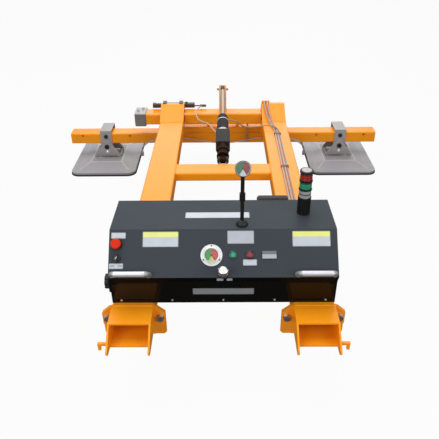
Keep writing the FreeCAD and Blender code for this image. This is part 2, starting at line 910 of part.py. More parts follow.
def sleeve():
    """Open box over the pad beam with a guide shoe inside it, and two pivot straps below."""
    half = sleeve_width / 2
    collar = box(
        sleeve_centre - half, sleeve_centre + half, sleeve_front, sleeve_back, sleeve_low, sleeve_top
    )
    passage = laid_along_x(
        rounded_bar(
            pad_beam_depth + 2 * sleeve_clearance, pad_beam_height + 2 * sleeve_clearance,
            pad_beam_corner, sleeve_width + 2,
        ),
        V(sleeve_centre - half - 1, pad_beam_y, pad_beam_z),
    )
    collar = collar.cut(passage)
    for x in (sleeve_centre - half - 1, sleeve_centre + sleeve_shoe / 2):
        collar = collar.cut(box(
            x, x + half + 1 - sleeve_shoe / 2, sleeve_front + sleeve_wall, sleeve_back - sleeve_wall,
            sleeve_low + sleeve_wall, sleeve_top - sleeve_wall,
        ))
    collar = collar.cut(box(
        sleeve_centre - half - 1, sleeve_centre + half + 1, far_strap + sleeve_wall, sleeve_back + 1,
        sleeve_low - 1, pivot_z + yoke_apex + yoke_headroom,
    ))
    parts = [collar]
    for y in strap_faces:
        parts.append(front_plate([
            (sleeve_centre - half, sleeve_low), (sleeve_centre + half, sleeve_low),
            (sleeve_centre + strap_round, pivot_z), (sleeve_centre - strap_round, pivot_z),
        ], y, y + sleeve_wall))
        parts.append(rod(
            strap_round, V(sleeve_centre, y, pivot_z), V(sleeve_centre, y + sleeve_wall, pivot_z)
        ))
    whole = fused(parts)
    pivot_bore = rod(
        pivot_radius + running_clearance,
        V(sleeve_centre, sleeve_front - 1, pivot_z), V(sleeve_centre, far_strap + sleeve_wall + 1, pivot_z),
    )
    lock_bore = rod(
        lock_pin_radius + bolt_clearance,
        V(sleeve_centre, sleeve_front - 1, pad_hole_z), V(sleeve_centre, pad_beam_front, pad_hole_z),
    )
    return whole.cut(pivot_bore).cut(lock_bore)


def sleeve_pins():
    """Pivot pin with a head beyond each yoke plate, and the knobbed locking pin above it."""
    x = sleeve_centre
    near = yoke_near - yoke_play
    far = yoke_far + yoke_thickness + yoke_play
    shank = rod(pivot_radius, V(x, near, pivot_z), V(x, far, pivot_z))
    near_head = rod(1.6 * pivot_radius, V(x, near - pivot_head, pivot_z), V(x, near, pivot_z))
    far_head = rod(1.6 * pivot_radius, V(x, far, pivot_z), V(x, far + pivot_head, pivot_z))
    lock_face = V(x, sleeve_front, pad_hole_z)
    bolt = rod(lock_pin_radius, lock_face, lock_face + V(0, sleeve_wall, 0))
    knob = rod(lock_knob_radius, lock_face - V(0, pivot_head, 0), lock_face)
    return fused([shank, near_head, far_head]), fused([bolt, knob])


right_sleeve = sleeve()
pivot_pin, lock_pin = sleeve_pins()
save("right_sleeve", right_sleeve, pivot_pin, lock_pin)
save("left_sleeve", mirrored(right_sleeve), mirrored(pivot_pin), mirrored(lock_pin))


# Pads: hipped plate, yoke, hose port and rubber seal
plateau_z = above_arm(-plateau_drop)
rim_top = above_arm(-rim_top_drop)
rim_low = rim_top - pad_rim
seal_low = rim_low - seal_height


def pad_outline(margin, corner, z, set_back=0.0):
    """Rounded oblong at one height, by its margin inside the plate's edge, set back further at its ends."""
    wire = rounded_outline(pad_width - 2 * margin, pad_depth - 2 * (margin + set_back), corner)
    wire.translate(V(sleeve_centre, pad_beam_y, z))
    return wire


def pad_crown(inset, low):
    """Hipped block of the pad, moved in by a sheet's thickness for its hollow underside."""
    return Part.makeLoft([
        pad_outline(crown_margin + inset, crown_corner - inset / 2, low),
        pad_outline(
            plateau_margin + inset / 2, plateau_corner - inset / 2, plateau_z - inset, plateau_set_back
        ),
    ], True, True)


def pad_plate():
    """Pressed plate: a flat rim, four sloping sides and an oblong plateau, hollow underneath."""
    rim = Part.Face(pad_outline(0, pad_corner, rim_low)).extrude(V(0, 0, pad_rim))
    mouth = Part.Face(
        pad_outline(pad_rim + pad_sheet, pad_corner - pad_rim - pad_sheet / 2, rim_low - 1)
    ).extrude(V(0, 0, pad_rim + 1 - pad_sheet / 2))
    hollow = pad_crown(pad_sheet, rim_top - pad_sheet / 2)
    return fused([rim, pad_crown(0, rim_top - 1)]).cut(mouth).cut(hollow)


def pad_yoke():
    """Two arched plates outside the sleeve's straps, from the plateau up past the pivot."""
    parts = []
    base = yoke_base / 2
    x = sleeve_centre
    apex = pivot_z + yoke_apex - yoke_eye
    for y in (yoke_near, yoke_far):
        blade = front_plate([
            (x - base, plateau_z), (x - yoke_arch, plateau_z),
            (x - 0.8 * yoke_arch, plateau_z + yoke_arch_rise),
            (x + 0.8 * yoke_arch, plateau_z + yoke_arch_rise),
            (x + yoke_arch, plateau_z), (x + base, plateau_z),
            (x + base, plateau_z + yoke_foot), (x + yoke_eye, apex), (x - yoke_eye, apex),
            (x - base, plateau_z + yoke_foot),
        ], y, y + yoke_thickness)
        eye = rod(yoke_eye, V(x, y, apex), V(x, y + yoke_thickness, apex))
        bore = rod(
            pivot_radius + running_clearance, V(x, y - 1, pivot_z), V(x, y + yoke_thickness + 1, pivot_z)
        )
        parts.append(fused([blade, eye]).cut(bore))
    for side in (-1, 1):
        edge = x + side * base
        inner = edge - side * yoke_strip
        parts.append(box(
            min(edge, inner), max(edge, inner), yoke_near + yoke_thickness, yoke_far,
            plateau_z, plateau_z + yoke_foot,
        ))
    return parts


pad_edge = sleeve_centre - pad_width / 2
port_x = pad_edge - port_reach
port_low = rim_low
port_top = port_low + port_height


def hose_port():
    """Elbow on the pad's inner edge: a stub out of the rim and an upright cup for the hose."""
    middle = rim_low + pad_rim / 2
    stub = rod(pad_rim / 2 - 1, V(port_x, pad_beam_y, middle), V(pad_edge, pad_beam_y, middle))
    body = rod(port_radius, V(port_x, pad_beam_y, port_low), V(port_x, pad_beam_y, port_top))
    cup_floor = V(port_x, pad_beam_y, port_low + port_floor)
    cup = rod(port_bore, cup_floor, cup_floor + V(0, 0, port_height))
    return fused([stub, body]).cut(cup)


def pad_seal():
    """Oblong rubber ring under the rim, a little wider than the plate."""
    corner = pad_corner + seal_overhang
    ring = Part.Face(pad_outline(-seal_overhang, corner, seal_low)).extrude(V(0, 0, seal_height))
    hollow = Part.Face(
        pad_outline(seal_width - seal_overhang, corner - seal_width / 2, seal_low - 1)
    ).extrude(V(0, 0, seal_height + 2))
    return ring.cut(hollow)


plate = pad_plate()
yoke = pad_yoke()
port = hose_port()
seal = pad_seal()
pad_pieces = [plate, port] + yoke
save("right_pad_plate", *pad_pieces)
save("left_pad_plate", *[mirrored(piece) for piece in pad_pieces])
save("right_pad_seal", seal)
save("left_pad_seal", mirrored(seal))

# Actuator, made along +Y from its foot pin and then turned up to the lever pin
reach_y = lever_pin.y - foot_pin.y
reach_z = lever_pin.z - foot_pin.z
actuator_length = math.hypot(reach_y, reach_z)
actuator_angle = math.degrees(math.atan2(reach_z, reach_y))
actuator_place = FreeCAD.Placement(foot_pin, FreeCAD.Rotation(V(1, 0, 0), actuator_angle))


def on_actuator(shape):
    """Carry a piece from the actuator's own axes to its place."""
    placed = shape.copy()
    placed.Placement = actuator_place.multiply(placed.Placement)
    return placed


def along(radius, y0, y1):
    """Round piece on the actuator's axis."""
    return rod(radius, V(0, y0, 0), V(0, y1, 0))


tail = fused([
    rod(actuator_tail_radius, V(-tail_width / 2, 0, 0), V(tail_width / 2, 0, 0)),
    box(-tail_width / 2, tail_width / 2, 0, actuator_flange_start,
        -0.9 * actuator_tail_radius, 0.9 * actuator_tail_radius),
])
tail_bore = rod(
    foot_pin_radius + running_clearance, V(-tail_width, 0, 0), V(tail_width, 0, 0)
)
motor_flange = along(actuator_flange_radius, actuator_flange_start, actuator_neck_start)
motor_neck = along(actuator_neck_radius, actuator_neck_start, actuator_motor_start)
motor = along(actuator_motor_radius, actuator_motor_start, actuator_box_start)
gear_box = rounded_bar(
    actuator_box_width, actuator_box_height, actuator_box_corner, actuator_box_end - actuator_box_start
)
gear_box = laid_along_y(gear_box, V(0, actuator_box_start, 0))
rod_bore = along(rod_radius + rod_clearance, rod_bore_start, actuator_tube_end + 1)
housing = fused([tail.cut(tail_bore), motor_flange, motor_neck, motor, gear_box]).cut(rod_bore)
nose_start = actuator_tube_end - actuator_nose_length
outer_tube = along(actuator_tube_radius, actuator_box_end, nose_start)
tube_nose = along(0.88 * actuator_tube_radius, nose_start, actuator_tube_end)
outer_tube = fused([outer_tube, tube_nose]).cut(rod_bore)
save("actuator_body", on_actuator(housing), on_actuator(outer_tube))

piston_rod = along(rod_radius, actuator_tube_end - rod_insert, actuator_length)
rod_eye = rod(
    rod_eye_radius, V(-rod_eye_width / 2, actuator_length, 0), V(rod_eye_width / 2, actuator_length, 0)
)
save("actuator_rod", on_actuator(fused([piston_rod, rod_eye])))

# Places across the cabinet: controls from its sides, the inner row from the spare width
cabinet_inner = cabinet_half - cabinet_sheet
selector_x = selector_side_gap - cabinet_half
stop_x = stop_side_gap - cabinet_half
handle_x = cabinet_half - handle_side_gap - handle_span / 2
light_x = cabinet_half - light_side_gap
battery_row = 2 * battery_width + battery_gap
pump_length = pump_motor_length + pump_head_length
inner_row = battery_row + electric_gap + electric_width + pump_gap + pump_length
battery_left = (2 * cabinet_inner - inner_row) * inner_spare_share - cabinet_inner
electric_left = battery_left + battery_row + electric_gap
pump_left = electric_left + electric_width + pump_gap
hood_left = pump_left + hood_pump_gap
hood_right = hood_left + hood_width

# Cabinet: floor tray, bent cover, side panels, glossy lower front and pump hood
cabinet_outline = [
    (lip_y, above_arm(lip_rise)), (nose_y, above_arm(nose_rise)),
    (slope_top_y, above_arm(cabinet_height)), (cabinet_back, above_arm(cabinet_height)),
    (cabinet_back, arm_top),
]
slope_rise = cabinet_height - nose_rise
slope_angle = math.degrees(math.atan2(slope_rise, slope_run))
panel_place = FreeCAD.Placement(
    V(0, nose_y, above_arm(nose_rise)), FreeCAD.Rotation(V(1, 0, 0), slope_angle)
)


def on_panel(shape):
    """Carry a piece from the control panel's own axes (right, up the slope, outwards) to its place."""
    placed = shape.copy()
    placed.Placement = panel_place.multiply(placed.Placement)
    return placed


def panel_rod(radius, x, up, low, high):
    """Round piece standing on the control panel, in the panel's own axes."""
    return rod(radius, V(x, up, low), V(x, up, high))


cover = side_plate(bent_sheet(cabinet_outline, cabinet_sheet), -cabinet_inner, cabinet_inner)
cover_holes = [panel_rod(gauge_radius + 1, gauge_x, gauge_up, -20, 20)]
for x, up in ((green_x, button_up), (red_x, button_up), (selector_x, selector_up), (stop_x, stop_up)):
    cover_holes.append(panel_rod(control_barrel + 0.2, x, up, -20, 20))
cover_holes.append(panel_rod(valve_ring_inner + 4, 0, valve_up, -20, 20))
cover_holes.append(box(
    meter_x - meter_width / 2 + 4, meter_x + meter_width / 2 - 4,
    meter_up - meter_height / 2 + 4, meter_up + meter_height / 2 - 4, -20, 20,
))
for hole in cover_holes:
    cover = cover.cut(on_panel(hole))
save("cabinet_cover", cover)

side_outline = [(lip_y, arm_top)] + cabinet_outline
right_side = side_plate(side_outline, cabinet_inner, cabinet_half)
save("cabinet_sides", right_side, mirrored(right_side))
save("lower_front_panel", box(
    -cabinet_inner, cabinet_inner, lip_y, lip_y + cabinet_sheet, arm_top, above_arm(lip_rise)
))
save("cabinet_floor", box(
    -cabinet_inner, cabinet_inner, lip_y + cabinet_sheet, cabinet_back - cabinet_sheet,
    arm_top, arm_top + cabinet_sheet,
))
hood_top = above_arm(cabinet_height + hood_rise)
hood = box(
    hood_left, hood_right, cabinet_back, cabinet_back + hood_depth, above_arm(hood_bottom), hood_top
)
round_edges = [
    edge for edge in hood.Edges
    if edge.BoundBox.ZMin > hood_top - 1 or edge.BoundBox.YMin > cabinet_back + hood_depth - 1
]
save("pump_hood", hood.makeFillet(hood_round, round_edges))

# Pieces inside the cabinet, all standing on its floor
floor_top = arm_top + cabinet_sheet
inner_back = cabinet_back - inner_back_gap
pump_start = V(pump_left, cabinet_back - pump_back_gap, floor_top + pump_axis_rise)
pump_joint = pump_start + V(pump_motor_length, 0, 0)
pump_end = pump_joint + V(pump_head_length, 0, 0)
pump_middle = pump_joint + V(pump_head_length / 2, 0, 0)
pump_feet = box(
    pump_start.x + pump_foot_inset, pump_end.x - pump_foot_inset / 2,
    pump_start.y - pump_foot_depth / 2, pump_start.y + pump_foot_depth / 2,
    floor_top, pump_start.z - pump_foot_drop,
)
save("vacuum_pump", fused([
    rod(pump_motor_radius, pump_start, pump_joint), rod(pump_head_radius, pump_joint, pump_end), pump_feet,
    rod(pump_outlet_radius, pump_middle, pump_middle + V(0, 0, pump_outlet_rise)),
]))
batteries = []
for step in (0, 1):
    x = battery_left + step * (battery_width + battery_gap)
    batteries.append(box(
        x, x + battery_width, inner_back - battery_depth, inner_back, floor_top, floor_top + battery_height
    ))
save("battery_pack", *batteries)
save("electric_box", box(
    electric_left, electric_left + electric_width, inner_back - electric_depth, inner_back,
    floor_top, floor_top + electric_height,
))


# Grab handles
def grab_handle():
    """Bent bar on two round feet, along the lower edge of the control panel."""
    half = handle_span / 2
    cut = handle_bend * (1 - math.sqrt(0.5))
    left = V(handle_x - half, handle_up, 0)
    right = V(handle_x + half, handle_up, 0)
    up = V(0, 0, handle_rise)
    path = Part.Wire([
        Part.LineSegment(left, left + up - V(0, 0, handle_bend)).toShape(),
        Part.Arc(
            left + up - V(0, 0, handle_bend), left + up + V(cut, 0, -cut), left + up + V(handle_bend, 0, 0)
        ).toShape(),
        Part.LineSegment(left + up + V(handle_bend, 0, 0), right + up - V(handle_bend, 0, 0)).toShape(),
        Part.Arc(
            right + up - V(handle_bend, 0, 0), right + up + V(-cut, 0, -cut),
            right + up - V(0, 0, handle_bend),
        ).toShape(),
        Part.LineSegment(right + up - V(0, 0, handle_bend), right).toShape(),
    ])
    section = Part.Wire(Part.makeCircle(handle_radius, left, V(0, 0, 1)))
    bar = path.makePipeShell([section], True, False)
    feet = [
        panel_rod(handle_foot_radius, x, handle_up, 0, handle_foot_height) for x in (left.x, right.x)
    ]
    return on_panel(fused([bar] + feet))


right_handle = grab_handle()
save("grab_handles", right_handle, mirrored(right_handle))


# Vacuum gauges: each is made on +Z at the origin, its dial at the flange's front
def gauge_case(flange_radius, depth):
    """Can with a front flange and a raised bezel round the dial, bored for the needle's pin."""
    dial = gauge_flange_thickness
    can = rod(gauge_radius, V(0, 0, -depth), V(0, 0, 0))
    flange = rod(flange_radius, V(0, 0, 0), V(0, 0, dial))
    bezel = pipe(
        gauge_radius + gauge_bezel, gauge_radius, V(0, 0, dial), V(0, 0, dial + gauge_bezel_height)
    )
    bore = rod(
        needle_pin_radius + needle_pin_clearance, V(0, 0, dial - 3), V(0, 0, dial + 1)
    )
    return fused([can, flange, bezel]).cut(bore)


def gauge_needle():
    """Tapered pointer along +X with a hub, a tail and a pin into the dial."""
    low = gauge_flange_thickness + needle_height
    half = needle_width / 2
    corners = [
        V(-needle_tail, -half, low), V(needle_length, -half / 4, low),
        V(needle_length, half / 4, low), V(-needle_tail, half, low),
    ]
    pointer = Part.Face(Part.makePolygon(corners + corners[:1])).extrude(V(0, 0, needle_thickness))
    hub = rod(needle_hub_radius, V(0, 0, low), V(0, 0, low + needle_thickness + 1))
    pin = rod(needle_pin_radius, V(0, 0, gauge_flange_thickness - 2.5), V(0, 0, low))
    return fused([pointer, hub, pin])


def gauge_window():
    """Flat glass inside the bezel."""
    top = gauge_flange_thickness + gauge_bezel_height
    return rod(gauge_radius - needle_pin_clearance, V(0, 0, top - gauge_glass), V(0, 0, top))


def placed_at(shape, place):
    """Carry a copy of a piece to a placement."""
    copy = shape.copy()
    copy.Placement = place.multiply(copy.Placement)
    return copy


gauge_place = panel_place.multiply(FreeCAD.Placement(V(gauge_x, gauge_up, 0), FreeCAD.Rotation()))
facing_operator = FreeCAD.Rotation(V(1, 0, 0), 90 - stem_gauge_tilt)
stem_gauge_place = FreeCAD.Placement(
    V(stem_x, stem_y - stem_gauge_depth / 4, above_arm(cabinet_height + stem_gauge_rise)), facing_operator
)
rest_turn = FreeCAD.Placement(V(0, 0, 0), FreeCAD.Rotation(V(0, 0, 1), -50))
needle = placed_at(gauge_needle(), rest_turn)
save("panel_gauge_case", placed_at(gauge_case(gauge_flange_radius, gauge_depth), gauge_place))
save("panel_gauge_needle", placed_at(needle, gauge_place))
stem_case = gauge_case(gauge_radius + 1, stem_gauge_depth)
save("stem_gauge_case", placed_at(stem_case, stem_gauge_place))
save("stem_gauge_needle", placed_at(needle, stem_gauge_place))
save("gauge_glasses", placed_at(gauge_window(), gauge_place), placed_at(gauge_window(), stem_gauge_place))

# Stem of the raised gauge, with its domed boot
cabinet_top = above_arm(cabinet_height)
stem_foot = V(stem_x, stem_y, cabinet_top)
boot = Part.makeSphere(boot_radius, stem_foot, V(0, 0, 1), 0, 90, 360)
stem_end = stem_foot + V(0, 0, stem_gauge_rise)
stem_tube = rod(stem_radius, stem_foot, stem_end)
collar = rod(
    stem_collar_radius, stem_foot + V(0, 0, stem_collar_low), stem_foot + V(0, 0, stem_collar_high)
)
room_floor = V(0, 0, -stem_gauge_depth)
room_rim = V(0, 0, gauge_flange_thickness + gauge_bezel_height + boot_radius)
stem_room = fused([
    rod(gauge_radius + stem_seat_gap, room_floor, room_rim),
    rod(gauge_radius + gauge_bezel + stem_seat_gap, V(0, 0, -stem_seat_gap), room_rim),
])
save("stem_post", fused([boot, stem_tube, collar]).cut(placed_at(stem_room, stem_gauge_place)))


# Stack light: ribbed base, spacer rings and cap in one node, lenses in nodes of their own
def light_disc(radius, low, high):
    """Round slice of the stack light, given by its heights above the cabinet."""
    return rod(radius, V(light_x, light_y, cabinet_top + low), V(light_x, light_y, cabinet_top + high))


base = light_disc(light_radius, 0, light_base_height)
for step in range(light_rib_count):
    angle = 2 * math.pi * step / light_rib_count
    slot = box(
        light_radius - light_rib_depth, light_radius + 5, -light_rib_width / 2, light_rib_width / 2,
        10, light_base_height - 8,
    )
    slot.rotate(V(0, 0, 0), V(0, 0, 1), math.degrees(angle))
    base = base.cut(slot.translated(V(light_x, light_y, cabinet_top)))
height = light_base_height
black_pieces = [base]
for name in ("stack_light_clear", "stack_light_green", "stack_light_red"):
    save(name, light_disc(light_radius - lens_inset, height, height + light_lens_height))
    height += light_lens_height
    black_pieces.append(light_disc(light_radius, height, height + light_ring_height))
    height += light_ring_height
cap_low = light_disc(light_radius, height, height + light_cap_height)
cap_edge = max(cap_low.Edges, key=lambda edge: edge.BoundBox.ZMin)
black_pieces[-1] = fused([black_pieces[-1], cap_low.makeFillet(light_cap_height / 2, [cap_edge])])
save("stack_light_base", *black_pieces)


# Push buttons, selector, emergency stop, hour meter and valve lever
def control_bezel(x, up):
    """Round flange and closed barrel that guide a button."""
    flange = panel_rod(control_flange, x, up, 0, control_flange_height)
    barrel = panel_rod(control_barrel, x, up, -control_depth, 0)
    bore = panel_rod(control_bore, x, up, control_floor - control_depth, control_flange_height + 1)
    return on_panel(fused([flange, barrel]).cut(bore))


def push_button(x, up, seat):
    """Round button that slides in its bezel."""
    plunger = panel_rod(control_bore - control_gap, x, up, seat, button_rise)
    rim = max(plunger.Edges, key=lambda edge: edge.BoundBox.ZMin)
    return on_panel(plunger.makeFillet(2, [rim]))


button_seat = control_floor - control_depth + 7
save("green_button", push_button(green_x, button_up, button_seat))
save("red_button", push_button(red_x, button_up, button_seat))

knob_floor = control_floor - control_depth + control_gap
knob = panel_rod(
    control_bore - control_gap, selector_x, selector_up, knob_floor, control_flange_height + 3
)
grip = box(
    selector_x - 4, selector_x + 4, selector_up - 13, selector_up + 13,
    control_flange_height + 1, control_flange_height + 15,
)
grip_round = grip.makeFillet(3, [edge for edge in grip.Edges if edge.BoundBox.ZLength > 10])
save("selector_knob", on_panel(fused([knob, grip_round])))

stop_stem = panel_rod(control_bore - control_gap, stop_x, stop_up, button_seat, stop_cap_low + 1)
stop_cap = panel_rod(stop_radius, stop_x, stop_up, stop_cap_low, stop_cap_high)
stop_rim = max(stop_cap.Edges, key=lambda edge: edge.BoundBox.ZMin)
save("emergency_stop_button", on_panel(fused([stop_stem, stop_cap.makeFillet(6, [stop_rim])])))
collar_ring = panel_rod(stop_collar, stop_x, stop_up, 0, 4).cut(
    panel_rod(control_flange + 0.2, stop_x, stop_up, -1, 5)
)

valve_ring = panel_rod(valve_ring_outer, 0, valve_up, 0, valve_ring_height)
valve_cup = panel_rod(valve_ring_inner + 3, 0, valve_up, -valve_hub_radius - 4, 0)
valve_room = panel_rod(valve_ring_inner, 0, valve_up, -valve_hub_radius - 0.4, valve_ring_height + 1)
pin_seat = rod(
    valve_pin_radius + running_clearance,
    V(0, valve_up - valve_pin_half - 1, 0), V(0, valve_up + valve_pin_half + 1, 0),
)
valve_base = on_panel(fused([valve_ring, valve_cup]).cut(valve_room).cut(pin_seat))
valve_pin = rod(
    valve_pin_radius, V(0, valve_up - valve_pin_half, 0), V(0, valve_up + valve_pin_half, 0)
)
valve_hub = Part.makeSphere(valve_hub_radius, V(0, valve_up, 0))
valve_rod = panel_rod(valve_rod_radius, 0, valve_up, 0, valve_ball_rise)
valve_ball = Part.makeSphere(valve_ball_radius, V(0, valve_up, valve_ball_rise))
save("valve_lever", on_panel(fused([valve_hub, valve_pin, valve_rod, valve_ball])))

meter_face = box(
    meter_x - meter_width / 2, meter_x + meter_width / 2,
    meter_up - meter_height / 2, meter_up + meter_height / 2, 0, meter_rise,
)
meter_body = box(
    meter_x - meter_width / 2 + 5, meter_x + meter_width / 2 - 5,
    meter_up - meter_height / 2 + 5, meter_up + meter_height / 2 - 5, -meter_depth, 0,
)
save("hour_meter", on_panel(fused([meter_face, meter_body])))

# Isolator switch on the cabinet's left side
isolator_z = above_arm(isolator_rise)
isolator_plate = box(
    -cabinet_half - isolator_base_depth, -cabinet_half,
    isolator_y - isolator_base / 2, isolator_y + isolator_base / 2,
    isolator_z - isolator_base / 2, isolator_z + isolator_base / 2,
)
knob_near = -cabinet_half - isolator_base_depth - isolator_gap
knob_far = knob_near - isolator_depth
isolator_knob = rod(
    isolator_radius, V(knob_near, isolator_y, isolator_z), V(knob_far, isolator_y, isolator_z)
)
for step in range(isolator_lobes):
    angle = 2 * math.pi * step / isolator_lobes
    y = isolator_y + (isolator_radius + 2) * math.cos(angle)
    z = isolator_z + (isolator_radius + 2) * math.sin(angle)
    groove = rod(isolator_lobe_radius, V(knob_near + 1, y, z), V(knob_far - 1, y, z))
    isolator_knob = isolator_knob.cut(groove)
save("isolator_knob", isolator_knob)
save(
    "control_bezels", control_bezel(green_x, button_up), control_bezel(red_x, button_up),
    control_bezel(selector_x, selector_up), control_bezel(stop_x, stop_up), on_panel(collar_ring),
    valve_base, isolator_plate,
)

# Limit switch box on the left saddle, with its feet, stub and plug
limit_back = limit_front + limit_depth
limit_z0 = above_arm(limit_low)
limit_z1 = above_arm(limit_high)
limit_body = box(limit_left, limit_right, limit_front, limit_back, limit_z0, limit_z1)
limit_edges = [edge for edge in limit_body.Edges if edge.BoundBox.XLength > 1]
limit_body = limit_body.makeFillet(limit_round, limit_edges)
limit_axis_y = (limit_front + limit_back) / 2
limit_axis_z = limit_z0 + limit_stub_rise
plug_near = V(limit_plug_near, limit_axis_y, limit_axis_z)
plug_far = V(limit_plug_far, limit_axis_y, limit_axis_z)
stub = rod(limit_stub_radius, V(limit_right - 2, limit_axis_y, limit_axis_z), plug_near)
plug = rod(limit_plug_radius, plug_near, plug_far)
saddle_back_y = saddle_top_front + saddle_top_depth
feet = []
foot_top = above_arm(saddle_rise) + limit_foot_sheet
foot_back = limit_front + limit_round + limit_foot_sheet
for x in (-arm_outer_face + limit_foot_inset, -arm_inner_face - limit_foot_inset - limit_foot_width):
    feet.append(box(
        x, x + limit_foot_width, saddle_back_y - limit_foot_hold, foot_back,
        above_arm(saddle_rise), foot_top,
    ))
    feet.append(box(
        x, x + limit_foot_width, foot_back - limit_foot_sheet, foot_back, limit_z1 - limit_round, foot_top,
    ))
save("limit_box", fused([limit_body, stub, plug] + feet))

# Vacuum hoses and the cable clipped along the right arm; the hoses climb the saddle's roof to the union
union_front = saddle_top_front + union_set_back
union_axis = above_arm(saddle_rise) + union_height / 2


def arm_hose(name, x, end_x):
    """Hose that lies on the arm, drifts towards its inner edge and climbs the slanted roof."""
    low = arm_top + hose_radius + arm_line_lift
    end = V(end_x, union_front - hose_end_gap, union_axis)
    shift = end_x - x
    climb = union_axis - low
    points = [
        V(x, cabinet_back, low), V(x, arm_end - 184, low),
        V(x + 0.3 * shift, arm_end - 89, low + 0.03 * climb),
        V(x + 0.6 * shift, arm_end - 7, low + 0.24 * climb),
        V(x + 0.88 * shift, arm_end + 69, low + 0.63 * climb),
        end - V(0, 52, 0), end,
    ]
    return tube_along(name, points, hose_radius)


union_ends = [union_left + port for port in union_ports]
arm_lines = [
    arm_hose(f"arm hose {index + 1}", x, end_x)
    for index, (x, end_x) in enumerate(zip(arm_hose_x, union_ends))
]
cable_low = arm_top + cable_radius + arm_line_lift
cable_leaves = V(arm_cable_x, clip_places[-1] + clip_length / 2, cable_low)
arm_lines.append(rod(cable_radius, V(arm_cable_x, cabinet_back, cable_low), cable_leaves))
save("arm_hoses", *arm_lines)

# Clips over the lines, and the rotary union on the right saddle
clips = []
clip_left = arm_hose_x[0] - hose_radius
clip_right = arm_cable_x + cable_radius
clip_top = arm_top + 2 * hose_radius + 2 * arm_line_lift
for y in clip_places:
    outer = box(
        clip_left - clip_wall - 1, clip_right + clip_wall + 1, y - clip_length / 2, y + clip_length / 2,
        arm_top, clip_top + clip_wall,
    )
    inner = box(clip_left - 1, clip_right + 1, y - clip_length, y + clip_length, arm_top - 1, clip_top)
    clips.append(outer.cut(inner))
union_block = box(
    union_left, union_left + union_width, union_front, saddle_top_front + saddle_top_depth,
    above_arm(saddle_rise), above_arm(saddle_rise) + union_height,
)
save("hose_fittings", union_block, *clips)

# Free end of the cable, from the last clip across to the actuator's tube
actuator_way = V(0, math.cos(math.radians(actuator_angle)), math.sin(math.radians(actuator_angle)))


def actuator_point(distance, x, up):
    """Point beside the actuator, given along its axis, sideways and square to it."""
    square = V(0, -actuator_way.z, actuator_way.y)
    return foot_pin + actuator_way * distance + square * up + V(x, 0, 0)


cable_start = cable_leaves + V(0, hose_end_gap, 0)
cable_end = actuator_point(actuator_tube_end - 36, actuator_tube_radius + hose_end_gap, 0)
cable_ahead = cable_start + V(0, 36, 0)
actuator_cable = tube_along("actuator cable", [
    cable_start, cable_ahead, cable_ahead + V(-14, 40, 14), cable_ahead + V(-52, 68, 22),
    cable_ahead + V(-106, 80, 16), cable_ahead + V(-166, 84, 4), cable_ahead + V(-226, 80, 2),
    cable_ahead + V(-280, 64, 22), cable_end + V(50, 2, 0), cable_end,
], cable_radius)
save("actuator_cable", actuator_cable)

# Cable from the limit switch plug, looping over the tilt tube to the actuator's band
plug_exit = V(
    limit_plug_near + limit_plug_radius, limit_axis_y - limit_plug_radius - hose_end_gap, limit_axis_z
)
band_point = actuator_point(actuator_box_end + 20, -actuator_tube_radius - cable_radius - 1, 0)
limit_cable = tube_along("limit cable", [
    plug_exit, plug_exit + V(0, -34, 0), plug_exit + V(-13, -78, 10), plug_exit + V(-29, -128, 10),
    plug_exit + V(-34, -184, 2), plug_exit + V(-26, -242, -6), plug_exit + V(-5, -300, -4),
    plug_exit + V(23, -358, 6), plug_exit + V(51, -418, 22), plug_exit + V(78, -480, 34),
    band_point + V(-28, 58, 2), band_point,
], cable_radius)
save("limit_cable", limit_cable)

# Hose slung along the front of the pad beam, its clamps, and the pipe and tee that feed it
hose_front = pad_beam_front - hose_radius - beam_hose_gap
hang = pad_beam_z + 8
half_route = [
    V(clamp_out, hose_front, hang - 16), V(498, hose_front, hang - 10), V(430, hose_front, hang - 2),
    V(clamp_in, hose_front, hang), V(280, hose_front, hang - 6), V(feed_x, hose_front, hang - 20),
    V(130, hose_front, hang - 36), V(52, hose_front, hang - 45),
]
other_half = [V(-point.x, point.y, point.z) for point in half_route[::-1]]
save("cross_hose", tube_along("cross hose", half_route + other_half, hose_radius))

clamps = []
for side in (-1, 1):
    for x, z in ((side * (clamp_out - clamp_inset), hang - 15.2), (side * clamp_in, hang - 1.3)):
        block = box(
            x - clamp_half, x + clamp_half, hose_front - hose_radius - clamp_wall, pad_beam_front,
            z - hose_radius - clamp_wall, z + hose_radius + clamp_wall,
        )
        start = V(x - 2 * clamp_half, hose_front, z)
        passage = rod(hose_radius + clamp_room, start, start + V(4 * clamp_half, 0, 0))
        clamps.append(block.cut(passage))
feed_index = [point.x for point in half_route].index(feed_x)
tee_middle = half_route[feed_index]
tee_way = half_route[feed_index + 1].sub(half_route[feed_index - 1]).normalize()
tee_near = tee_middle - tee_way * tee_half
tee_far = tee_middle + tee_way * tee_half
tee_bore = rod(hose_radius + tee_room, tee_near - tee_way, tee_far + tee_way)
tee = fused([
    rod(hose_radius + tee_wall, tee_near, tee_far),
    rod(hose_radius, tee_middle, V(feed_x, hose_front, tube_low)),
]).cut(tee_bore)
save("vacuum_tee", tee, *clamps)


# Hoses from the pad beam down to the pads
def drop_hose(name):
    """Hose from the outer clamp, down past the beam and into the elbow on the pad's inner edge."""
    end = V(port_x, pad_beam_y, port_low + port_floor + hose_end_gap)
    way_out = half_route[0].sub(half_route[1]).normalize()
    start = half_route[0] + way_out * hose_end_gap
    points = [
        start, start + way_out * 42, start + V(90, 0, -35), start + V(119, 27, -72),
        start + V(135, 57, -99), end + V(0, 0, port_height - 4), end,
    ]
    return tube_along(name, points, hose_radius)


right_drop = drop_hose("drop hose")
save("right_drop_hose", right_drop)
save("left_drop_hose", mirrored(right_drop))
